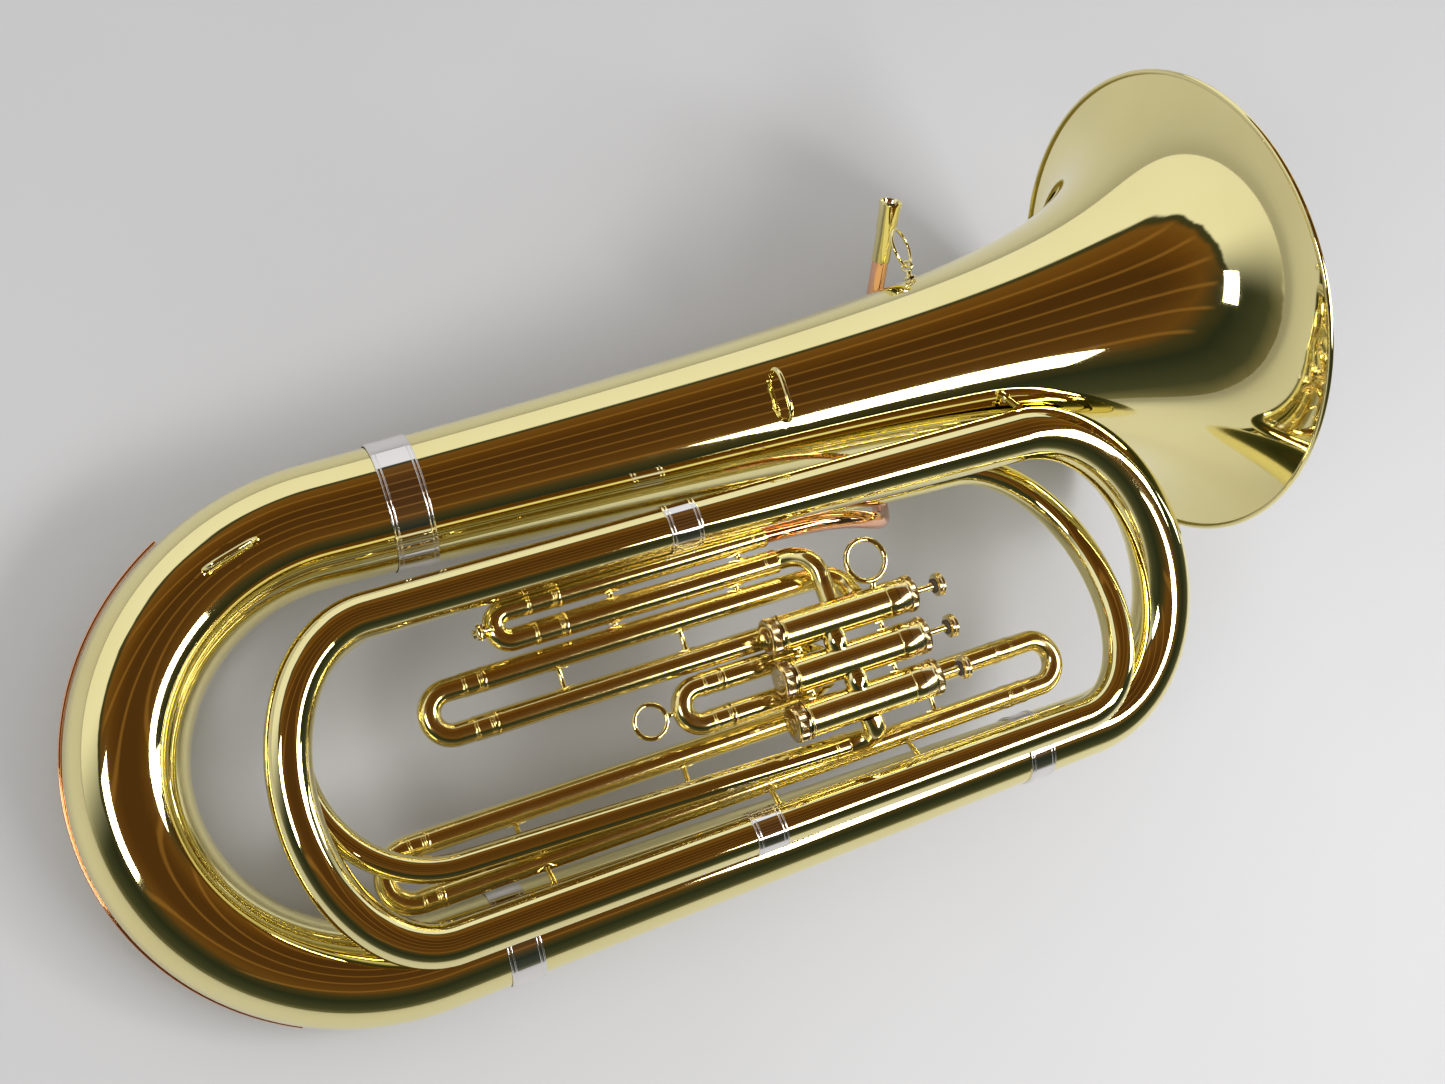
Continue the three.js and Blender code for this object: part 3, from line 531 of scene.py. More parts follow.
class Finish(Enum):
    """The finishes on this instrument, each with the record's material slot it belongs to."""

    BRASS = ("lacquered_brass", MetalFinish(
        "polished_brass", (0.93, 0.84, 0.42), (0.88, 0.76, 0.32), 0.035, 0.03, 0.4, 0.002))
    TUBING = ("lacquered_brass", MetalFinish(
        "drawn_brass", (0.95, 0.81, 0.36), (0.88, 0.70, 0.26), 0.13, 0.05, 0.5, 0.002))
    NICKEL = ("nickel_silver", MetalFinish(
        "bright_nickel", (0.88, 0.86, 0.84), (0.76, 0.71, 0.68), 0.04, 0.04, 0.3, 0.002))
    ROSE = ("rose_brass", MetalFinish(
        "lacquered_copper", (0.90, 0.50, 0.32), (0.76, 0.36, 0.20), 0.06, 0.06, 0.5, 0.003))
    CAP = ("worn_cap_brass", MetalFinish(
        "handled_brass", (0.86, 0.72, 0.40), (0.70, 0.52, 0.30), 0.16, 0.12, 0.8, 0.008))
    STEEL = ("plated_steel", MetalFinish(
        "bright_steel", (0.68, 0.67, 0.65), (0.52, 0.50, 0.46), 0.12, 0.10, 0.5))
    FELT = ("plated_steel", SoftFinish("button_felt", (0.05, 0.035, 0.03), (0.12, 0.09, 0.07), 900.0))
    CORK = ("plated_steel", SoftFinish("key_cork", (0.32, 0.19, 0.10), (0.12, 0.06, 0.03), 700.0))

    @property
    def slot(self) -> str:
        """The record's material slot."""
        return self.value[0]

    @property
    def material(self) -> bpy.types.Material:
        """The built material."""
        return self.value[1].material()


# ---------------------------------------------------------------- geometry nodes


def run_nodes(base: bpy.types.Mesh, tree: bpy.types.NodeTree, values: dict[str, object]) -> bpy.types.Mesh:
    """Runs a geometry tree on a mesh and hands back the plain result.

    Args:
        base: what goes into the tree.
        tree: the geometry node tree.
        values: the tree's inputs by name.

    Returns:
        A new mesh.
    """
    holder = bpy.data.objects.new("holder", base)
    bpy.context.scene.collection.objects.link(holder)
    modifier = holder.modifiers.new("shape", "NODES")
    modifier.node_group = tree
    for item in tree.interface.items_tree:
        if item.item_type == "SOCKET" and item.in_out == "INPUT" and item.name in values:
            modifier[item.identifier] = values[item.name]
    graph = bpy.context.evaluated_depsgraph_get()
    graph.update()
    result = bpy.data.meshes.new_from_object(holder.evaluated_get(graph))
    holder.modifiers.clear()
    bpy.data.objects.remove(holder)
    return result


def tube_tree() -> bpy.types.NodeTree:
    """Geometry tree: a tapered tube with capped ends along a line of edges.

    Returns:
        The tree.
    """
    name = "tapered_tube"
    if name in bpy.data.node_groups:
        return bpy.data.node_groups[name]
    tree = bpy.data.node_groups.new(name, "GeometryNodeTree")
    socket(tree, "Geometry", "NodeSocketGeometry")
    socket(tree, "Start Radius", "NodeSocketFloat", value=0.01)
    socket(tree, "End Radius", "NodeSocketFloat", value=0.01)
    socket(tree, "Sides", "NodeSocketInt", value=32)
    socket(tree, "Material", "NodeSocketMaterial")
    socket(tree, "Geometry", "NodeSocketGeometry", out=True)
    link = tree.links.new
    given = node_of(tree, "NodeGroupInput")
    line = node_of(tree, "GeometryNodeMeshToCurve")
    share = node_of(tree, "GeometryNodeSplineParameter")
    radius = node_of(tree, "ShaderNodeMapRange")
    circle = node_of(tree, "GeometryNodeCurvePrimitiveCircle")
    circle.inputs["Radius"].default_value = 1.0
    skin = node_of(tree, "GeometryNodeCurveToMesh")
    skin.inputs["Fill Caps"].default_value = True
    real = node_of(tree, "GeometryNodeRealizeInstances")
    paint = node_of(tree, "GeometryNodeSetMaterial")
    result = node_of(tree, "NodeGroupOutput")
    link(given.outputs["Geometry"], line.inputs["Mesh"])
    link(line.outputs["Curve"], skin.inputs["Curve"])
    link(share.outputs["Factor"], radius.inputs["Value"])
    link(given.outputs["Start Radius"], radius.inputs["To Min"])
    link(given.outputs["End Radius"], radius.inputs["To Max"])
    link(radius.outputs["Result"], skin.inputs["Scale"])
    link(given.outputs["Sides"], circle.inputs["Resolution"])
    link(circle.outputs["Curve"], skin.inputs["Profile Curve"])
    link(skin.outputs["Mesh"], real.inputs["Geometry"])
    link(real.outputs["Geometry"], paint.inputs["Geometry"])
    link(given.outputs["Material"], paint.inputs["Material"])
    link(paint.outputs["Geometry"], result.inputs["Geometry"])
    return tree


def knurl_tree() -> bpy.types.NodeTree:
    """Geometry tree: fine ribs round a rim, about the z axis.

    Returns:
        The tree.
    """
    name = "knurled_rim"
    if name in bpy.data.node_groups:
        return bpy.data.node_groups[name]
    tree = bpy.data.node_groups.new(name, "GeometryNodeTree")
    socket(tree, "Geometry", "NodeSocketGeometry")
    socket(tree, "Rim Radius", "NodeSocketFloat", value=0.013)
    socket(tree, "Ribs", "NodeSocketInt", value=60)
    socket(tree, "Rib Width", "NodeSocketFloat", value=0.0005)
    socket(tree, "Rib Length", "NodeSocketFloat", value=0.004)
    socket(tree, "Material", "NodeSocketMaterial")
    socket(tree, "Geometry", "NodeSocketGeometry", out=True)
    link = tree.links.new
    given = node_of(tree, "NodeGroupInput")
    rim = node_of(tree, "GeometryNodeMeshCircle")
    rib = node_of(tree, "GeometryNodeMeshCylinder")
    rib.inputs["Vertices"].default_value = 6
    place = node_of(tree, "GeometryNodeInputPosition")
    facing = node_of(tree, "FunctionNodeAlignRotationToVector", axis="X")
    spread = node_of(tree, "GeometryNodeInstanceOnPoints")
    real = node_of(tree, "GeometryNodeRealizeInstances")
    paint = node_of(tree, "GeometryNodeSetMaterial")
    result = node_of(tree, "NodeGroupOutput")
    link(given.outputs["Ribs"], rim.inputs["Vertices"])
    link(given.outputs["Rim Radius"], rim.inputs["Radius"])
    link(given.outputs["Rib Width"], rib.inputs["Radius"])
    link(given.outputs["Rib Length"], rib.inputs["Depth"])
    link(rim.outputs["Mesh"], spread.inputs["Points"])
    link(rib.outputs["Mesh"], spread.inputs["Instance"])
    link(place.outputs["Position"], facing.inputs["Vector"])
    link(facing.outputs["Rotation"], spread.inputs["Rotation"])
    link(spread.outputs["Instances"], real.inputs["Geometry"])
    link(real.outputs["Geometry"], paint.inputs["Geometry"])
    link(given.outputs["Material"], paint.inputs["Material"])
    link(paint.outputs["Geometry"], result.inputs["Geometry"])
    return tree


def tube(line: np.ndarray, start: float, end: float | None = None, sides: int = 40) -> bpy.types.Mesh:
    """A tube along a line, by the tapered tube tree.

    Args:
        line: stations in instrument millimetres.
        start: radius at the first station.
        end: radius at the last, or None for the same.
        sides: faces round the tube.

    Returns:
        The mesh, in the row's metres.
    """
    base = bpy.data.meshes.new("line")
    placed = LYING.place(line)
    base.from_pydata(placed.tolist(), [(i, i + 1) for i in range(len(placed) - 1)], [])
    values = {"Start Radius": start * MM, "End Radius": (start if end is None else end) * MM, "Sides": sides}
    return mended(run_nodes(base, tube_tree(), values))


def knurl(along: float, y: float, z: float, radius: float, length: float, ribs: int = 72) -> bpy.types.Mesh:
    """Ribs round a rim whose axis runs along x, by the knurled rim tree.

    Args:
        along: middle of the rim on x.
        y: the axis's place.
        z: the axis's place.
        radius: of the surface that the ribs stand on.
        length: of each rib.
        ribs: how many.

    Returns:
        The mesh, in the row's metres.
    """
    base = bpy.data.meshes.new("rim")
    values = {"Rim Radius": radius * MM, "Ribs": ribs, "Rib Width": radius * 0.035 * MM, "Rib Length": length * MM}
    made = run_nodes(base, knurl_tree(), values)
    turn = LYING.turn() @ np.array([[0.0, 0.0, 1.0], [0.0, 1.0, 0.0], [-1.0, 0.0, 0.0]])
    spot = LYING.place(vec(along, y, z))
    matrix = Matrix([[*turn[i], spot[i]] for i in range(3)] + [[0.0, 0.0, 0.0, 1.0]])
    made.transform(matrix)
    return mended(made)


# ---------------------------------------------------------------- pieces

SHARP = math.radians(38)


def piece(
    name: str,
    parts: Sequence[Sketch | bpy.types.Mesh],
    finish: Finish,
    body: str = "body",
    stands_for: Sequence[str] = (),
) -> bpy.types.Object:
    """Joins parts into one piece that rides on a body.

    Args:
        name: the piece's name.
        parts: sketches and meshes to join.
        finish: its finish.
        body: the body it rides on.
        stands_for: CAD nodes that it replaces.

    Returns:
        The new object.
    """
    work = bmesh.new()
    for part in parts:
        work.from_mesh(part.mesh() if isinstance(part, Sketch) else part)
    mesh = bpy.data.meshes.new(name)
    work.to_mesh(mesh)
    work.free()
    mesh.materials.clear()
    mesh.materials.append(finish.material)
    mesh.polygons.foreach_set("material_index", [0] * len(mesh.polygons))
    mesh.shade_smooth()
    mesh.set_sharp_from_angle(angle=SHARP)
    made = bpy.data.objects.new(name, mesh)
    bpy.context.scene.collection.objects.link(made)
    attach(made, body)
    finish.slot
    if stands_for:
        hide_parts(*stands_for)
    LOG.info("%s: %d faces on %s", name, len(mesh.polygons), body)
    return made


@dataclass(frozen=True)
class Leg:
    """A straight stretch of tube that runs along x."""

    y: float
    z: float
    radius: float

    def at(self, x: float) -> np.ndarray:
        """The point on its axis at x."""
        return vec(x, self.y, self.z)


def diamond(leg: Leg, x: float, facing: np.ndarray, length: float, width: float) -> Sketch:
    """A diamond flange that lies on a tube.

    Args:
        leg: the tube.
        x: middle of the flange.
        facing: direction from the tube's axis towards the flange's middle.
        length: tip to tip along the tube.
        width: tip to tip round it.

    Returns:
        The flange.
    """
    towards = unit(facing * np.array([0.0, 1.0, 1.0]))
    side = np.cross(X_AXIS, towards)
    steps = np.linspace(-1, 1, 9)
    layers = []
    for height in (-0.35, 0.3, 0.5):
        shrink = 0.93 if height > 0.4 else 1.0
        rows = []
        for s in steps:
            row = []
            for t in steps:
                along, round_by = (s + t) / 4 * length * shrink, (s - t) / 4 * width * shrink / leg.radius
                radial = towards * math.cos(round_by) + side * math.sin(round_by)
                row.append(leg.at(x + along) + radial * (leg.radius + height))
            rows.append(row)
        layers.append(np.array(rows))
    sketch = Sketch()
    edge = [(0, k) for k in range(8)] + [(k, 8) for k in range(8)]
    edge += [(8, 8 - k) for k in range(8)] + [(8 - k, 0) for k in range(8)]
    rim = np.array([[layer[i][k] for i, k in edge] for layer in layers])
    sketch.grid(rim)
    sketch.grid(layers[0], close_columns=False)
    sketch.grid(layers[2], close_columns=False)
    return sketch


def strut(x: float, first: Leg, second: Leg, radius: float = 1.9, flange: float = 13.0) -> list[Sketch]:
    """A brace between two tubes: a post with a diamond flange at each end.

    Args:
        x: where it stands.
        first: the tube it starts on.
        second: the tube it ends at.
        radius: of the post.
        flange: length of each flange.

    Returns:
        Its sketches.
    """
    start, end = first.at(x), second.at(x)
    towards = unit(end - start)
    reach = float(np.linalg.norm(end - start))
    low, high = first.radius, reach - second.radius
    if high - low > 5:
        profile = [(low - 0.3, radius * 1.25), (low + 0.8, radius), (high - 0.8, radius), (high + 0.3, radius * 1.25)]
    else:
        profile = [(low - 0.3, radius * 1.3), ((low + high) / 2, radius), (high + 0.3, radius * 1.3)]
    post = Sketch()
    post.turned([(profile[0][0], 0.0), *profile, (profile[-1][0], 0.0)], start, towards, 20)
    return [
        post,
        diamond(first, x, towards, flange, flange * 0.66),
        diamond(second, x, -towards, flange, flange * 0.66),
    ]


# ---------------------------------------------------------------- bell and branches


@dataclass(frozen=True)
class Flare:
    """The bell's flare law: radius = rim * (1 + distance / start) ** -power."""

    mouth: float = 826.4
    rim: float = 182.4
    start: float = 26.07
    power: float = 0.445

    def radius(self, x: float) -> float:
        """Radius of the bell's outside at x."""
        return self.rim * (1 + (self.mouth - x) / self.start) ** -self.power

    def slope(self, x: float) -> float:
        """How fast the radius grows along x."""
        return self.power * self.radius(x) / (self.start + self.mouth - x)

    def point(self, x: float, degrees: float, height: float) -> np.ndarray:
        """A point that stands a height off the bell, at a bearing from y towards z.

        Args:
            x: its place along the bell.
            degrees: its bearing.
            height: how far it stands off.

        Returns:
            The point.
        """
        angle = math.radians(degrees)
        reach = self.radius(x) + height
        return vec(x, reach * math.cos(angle), reach * math.sin(angle))


FLARE = Flare()


@dataclass
class Bell:
    """The bell, with its wall and rolled rim."""

    tail: float = 201.3
    wall: float = 0.7
    rim_wire: float = 2.2
    stations: int = 96
    segments: int = 192

    def build(self) -> None:
        """Turns the bell about its axis."""
        length = FLARE.mouth - self.tail
        outside, inside = [], []
        for i in range(self.stations, -1, -1):
            x = FLARE.mouth - length * (i / self.stations) ** 2.1
            slope = FLARE.slope(x)
            lean = math.hypot(1, slope)
            outside.append((x, FLARE.radius(x)))
            inside.insert(0, (x + self.wall * slope / lean, FLARE.radius(x) - self.wall / lean))
        angles = [math.radians(a) for a in range(205, -65, -15)]
        middle = FLARE.rim + 0.2
        roll = [(FLARE.mouth + self.rim_wire * math.cos(a), middle + self.rim_wire * math.sin(a)) for a in angles]
        shell = Sketch()
        shell.turned([*outside[:-1], *roll, *inside[1:]], segments=self.segments, closed=True)
        piece("bell_shell", [shell], Finish.BRASS, stands_for=["bell"])


@dataclass
class Branches:
    """The large tubes after the bell, from the bottom bow to the valve exit."""

    branch_y: float = -293.0
    inner_leg: Leg = Leg(-68.4, 54.0, 15.3)
    inner_return: Leg = Leg(-278.5, 45.4, 13.6)
    hidden: tuple[float, float, float] = (400.0, -75.0, -5.0)
    exit: tuple[float, float, float] = (429.7, -243.0, 40.0)
    trim: float = 0.985
    bottom_trim: float = 0.973
    guard_reach: tuple[float, float] = (42.5, 33.7)
    guard_wire: float = 1.15
    steps: int = 72

    def bottom_line(self, steps: int) -> np.ndarray:
        """Centreline of the bottom bow."""
        return bow_line(vec(145.4, 0, 0), vec(145.4, self.branch_y, 0), -152.9, steps)

    def lines(self) -> dict[str, tuple[np.ndarray, float, float]]:
        """Each tube's centreline with the radii at its two ends.

        Returns:
            Stations, first radius and last radius, by CAD node.
        """
        y, leg, back = self.branch_y, self.inner_leg, self.inner_return
        hidden, leave = np.array(self.hidden), np.array(self.exit)
        top = bow_line(vec(637.4, y, 0), vec(637.4, -72.2, 62.8), 94, self.steps, -10.6)
        low = bow_line(leg.at(154.2), back.at(154.2), -71.2, self.steps)
        high = bow_line(back.at(614.9), vec(614.9, -81, -14), 69.7, self.steps, -5.9)
        inmost = bow_line(vec(172, -70, 0), vec(172, -235, 39.5), -80, self.steps)
        return {
            "bottom_bow": (np.vstack([vec(200.9, 0, 0), self.bottom_line(self.steps), vec(193.3, y, 0)]), 44.0, 31.2),
            "outer_branch": (np.array([vec(193.3, y, 0), vec(592.1, y, 0)]), 31.2, 24.3),
            "top_bow": (np.vstack([vec(592.1, y, 0), top, leg.at(378.5), leg.at(367)]), 24.3, 15.5),
            "inner_bottom_bow": (np.vstack([leg.at(367), low, back.at(364.9)]), 15.5, 13.7),
            "inner_top_bow": (np.vstack([back.at(364.9), high, hidden]), 13.7, 9.6),
            "innermost_bow": (np.vstack([hidden, inmost, leave]), 9.6, 8.2),
        }

    def build(self) -> None:
        """Makes the tubes and the guard wire on the bottom bow."""
        for node, (line, start, end) in self.lines().items():
            sides = 96 if start > 20 else 56
            trim = self.bottom_trim if node == "bottom_bow" else self.trim
            made = tube(line, start * trim, end * trim, sides)
            piece(f"{node}_tube", [made], Finish.BRASS, stands_for=[node])
        self.build_guard()
        self.build_hidden_sleeve()

    def build_guard(self) -> None:
        """A thin wire that lies along the outside of the bottom bow."""
        steps = 90
        near, far = self.guard_reach
        centre = vec(145.4, self.branch_y / 2, 0)
        cut = steps // 6
        part = self.bottom_line(steps)[cut:-cut]
        line = []
        for i, point in enumerate(part):
            share = i / (len(part) - 1)
            reach = (near + (far - near) * share) * self.bottom_trim + 0.5
            line.append(point + unit(point - centre) * reach)
        guard = Sketch()
        guard.swept(np.array(line), lambda share: self.guard_wire, 12, flat=1.2)
        piece("bow_guard_wire", [guard], Finish.ROSE, stands_for=["bow_guard"])

    def build_hidden_sleeve(self) -> None:
        """The plain sleeve that joins the two hidden legs."""
        x, y, z = self.hidden
        sleeve = Sketch()
        sleeve.turned([(-11, 9.4), (-11, 10.4), (11, 10.4), (11, 9.4)], vec(x, y, z), X_AXIS, 48, closed=True)
        piece("hidden_sleeve", [sleeve], Finish.NICKEL)


@dataclass(frozen=True)
class Ferrule:
    """A sleeve over a joint, with two bead lines at each edge."""

    node: str
    centre: tuple[float, float, float]
    radius: float
    length: float
    slope: float

    def skin(self, x: float) -> float:
        """Radius of the sleeve's outside at x from its middle."""
        return self.radius + self.slope * x + 0.75

    def build(self) -> None:
        """Turns the sleeve about x."""
        half, skin = self.length / 2, self.skin
        profile = [(-half, skin(-half) - 1.1), (-half, skin(-half) + 0.1)]
        for x in (-half + 0.6, -half + 3.0):
            profile += bead(x, skin(x), 0.55)
        profile += [(x, skin(x)) for x in np.linspace(-half + 4.2, half - 4.2, 6)]
        for x in (half - 3.0, half - 0.6):
            profile += bead(x, skin(x), 0.55)
        profile += [(half, skin(half) + 0.1), (half, skin(half) - 1.1)]
        sleeve = Sketch()
        sleeve.turned(profile, np.array(self.centre), X_AXIS, 112, closed=True)
        piece(f"{self.node}_sleeve", [sleeve], Finish.NICKEL, stands_for=[self.node])


def ferrules(branches: Branches) -> list[Ferrule]:
    """The five visible ferrules.

    Args:
        branches: the tubes that they sit on.

    Returns:
        The ferrules.
    """
    y = branches.branch_y
    leg, back = branches.inner_leg, branches.inner_return
    return [
        Ferrule("ferrule_bell", (201.2, 0, 0), 44.0, 27, FLARE.slope(201.2)),
        Ferrule("ferrule_branch_low", (193.3, y, 0), 31.2, 23, -0.017),
        Ferrule("ferrule_branch_high", (592.1, y, 0), 24.3, 21, -0.017),
        Ferrule("ferrule_inner_leg", (367.0, leg.y, leg.z), 15.5, 23, 0.007),
        Ferrule("ferrule_inner_return", (364.9, back.y, back.z), 13.7, 22, -0.003),
    ]


# ---------------------------------------------------------------- leadpipe


@dataclass
class Leadpipe:
    """The leadpipe, round the back of the bell, and the receiver on its end."""

    radius: float = 6.4
    start: tuple[float, float, float] = (428.4, -88.8, 38.0)
    base: tuple[float, float, float] = (609.7, 78.0, -39.0)
    heading: tuple[float, float, float] = (0.197, 0.788, 0.584)
    shoulder: float = 19.3
    mouth: float = 67.0
    stations: tuple[tuple[float, float, float], ...] = (
        (446, -89.5, 38.3), (470, -91, 36), (498, -94.5, 26.5), (522, -99, 10), (539, -100, -9), (550, -93, -27.5),
        (559, -75, -45), (566, -50, -60), (574, -23, -72.5), (583, 4, -78.5), (593, 28, -74.5),
    )

    def on_axis(self, distance: float) -> np.ndarray:
        """A point on the receiver's axis."""
        return np.array(self.base) + unit(np.array(self.heading)) * distance

    def build(self) -> None:
        """Makes the pipe and the receiver."""
        route = [np.array(self.start), *(vec(*s) for s in self.stations), self.on_axis(-38), self.on_axis(-20)]
        line = smooth_line([*route, self.on_axis(self.shoulder + 1)], 8)
        piece("leadpipe_tube", [tube(line, self.radius, sides=36)], Finish.ROSE, stands_for=["leadpipe"])
        axis = unit(np.array(self.heading))
        origin = self.on_axis(self.shoulder)
        length = self.mouth - self.shoulder
        profile = [(0, 5.2), (0, 7.0), (0.6, 7.25), (length * 0.52, 7.3), (length * 0.55, 8.0)]
        profile += [(length - 4, 8.35), (length - 3, 8.75), (length - 0.4, 8.8), (length, 8.4)]
        profile += [(length, 7.7), (length - 1.2, 7.1), (length * 0.3, 5.6)]
        receiver = Sketch()
        receiver.turned(profile, origin, axis, 64, closed=True)
        piece("receiver_turned", [receiver], Finish.BRASS, stands_for=["mouthpiece_receiver"])


# ---------------------------------------------------------------- slides


@dataclass(frozen=True)
class Slide:
    """A pulled slide: two sleeves that stay, and a U that moves.

    side is 1 where the U opens towards +x and the slide pulls out towards -x, and -1 the other way round.
    """

    node: str
    body: str
    z: float
    upper: float
    lower: float
    bow_x: float
    band_x: float
    sleeve_x: float
    leg_length: float
    side: int = 1
    crook_radius: float = 7.75
    inner_radius: float = 7.15

    def legs(self) -> tuple[Leg, Leg]:
        """Its two sleeves."""
        return Leg(self.upper, self.z, SLEEVE_RADIUS), Leg(self.lower, self.z, SLEEVE_RADIUS)

    def build_bow(self) -> None:
        """The moving U, with a ferrule band on each leg."""
        reach = -self.side * abs(self.upper - self.lower) / 2
        upper, lower = self.legs()
        end = self.sleeve_x - 0.3 * self.side
        bow = bow_line(upper.at(self.bow_x), lower.at(self.bow_x), reach, 40)
        outline = np.vstack([upper.at(end), bow, lower.at(end)])
        parts: list[Sketch | bpy.types.Mesh] = [tube(outline, self.crook_radius, sides=36)]
        tip = self.sleeve_x + self.side * self.leg_length
        for leg in (upper, lower):
            parts.append(tube(np.array([leg.at(end - 4 * self.side), leg.at(tip)]), self.inner_radius, sides=32))
            parts.append(self.band(leg))
        piece(f"{self.node}_crook", parts, Finish.TUBING, self.body, [self.node])

    def band(self, leg: Leg) -> Sketch:
        """The ferrule band between the crook and the sleeve.

        Args:
            leg: the leg that it sits on.

        Returns:
            The band.
        """
        low, high = sorted((self.band_x, self.sleeve_x - 0.4 * self.side))
        profile = [(low, 7.2), (low, 8.15), *bead(low + 0.7, 8.1, 0.35), *bead(low + 2.2, 8.1, 0.35)]
        profile += [*bead(high - 2.2, 8.1, 0.35), *bead(high - 0.7, 8.1, 0.35), (high, 8.15), (high, 7.2)]
        made = Sketch()
        made.turned(profile, leg.at(0), X_AXIS, 48, closed=True)
        return made

    def mouth_ring(self, leg: Leg) -> Sketch:
        """The raised ring at the open end of a sleeve.

        Args:
            leg: the leg that it sits on.

        Returns:
            The ring.
        """
        low, high = sorted((self.sleeve_x, self.sleeve_x + 2.4 * self.side))
        profile = [(low, 7.3), (low, 8.3), (low + 0.3, 8.5), (high - 0.5, 8.5), (high, 8.25), (high, 7.3)]
        made = Sketch()
        made.turned(profile, leg.at(0), X_AXIS, 48, closed=True)
        return made


MAIN = Slide("main_slide_bow", "main_slide", 38, -88.8, -108.6, 241.5, 255, 275.5, 110)
FIRST = Slide("first_slide_bow", "first_slide", 34.8, -127.5, -156.5, 190.8, 201, 214.5, 140)
SECOND = Slide("second_slide_bow", "second_slide", 34.8, -174, -199, 350.2, 354.5, 368.5, 42)
THIRD_LEFT = Slide("third_slide_left_bow", "third_left_slide", 18, -216, -251, 141, 141.5, 153.8, 150)
THIRD_RIGHT = Slide("third_slide_right_bow", "third_right_slide", 18, -218, -251, 609, 594, 579.5, 60, -1)


@dataclass(frozen=True)
class ValveBlock:
    """Where the valves are."""

    rows: tuple[float, float, float] = (-157.0, -187.0, -217.0)
    z: float = 58.0
    casing_radius: float = 12.4
    bore: float = 11.2
    cap_radius: float = 13.1
    cap_bore: float = 10.9
    piston_radius: float = 10.6
    stem_radius: float = 2.3


VALVES = ValveBlock()


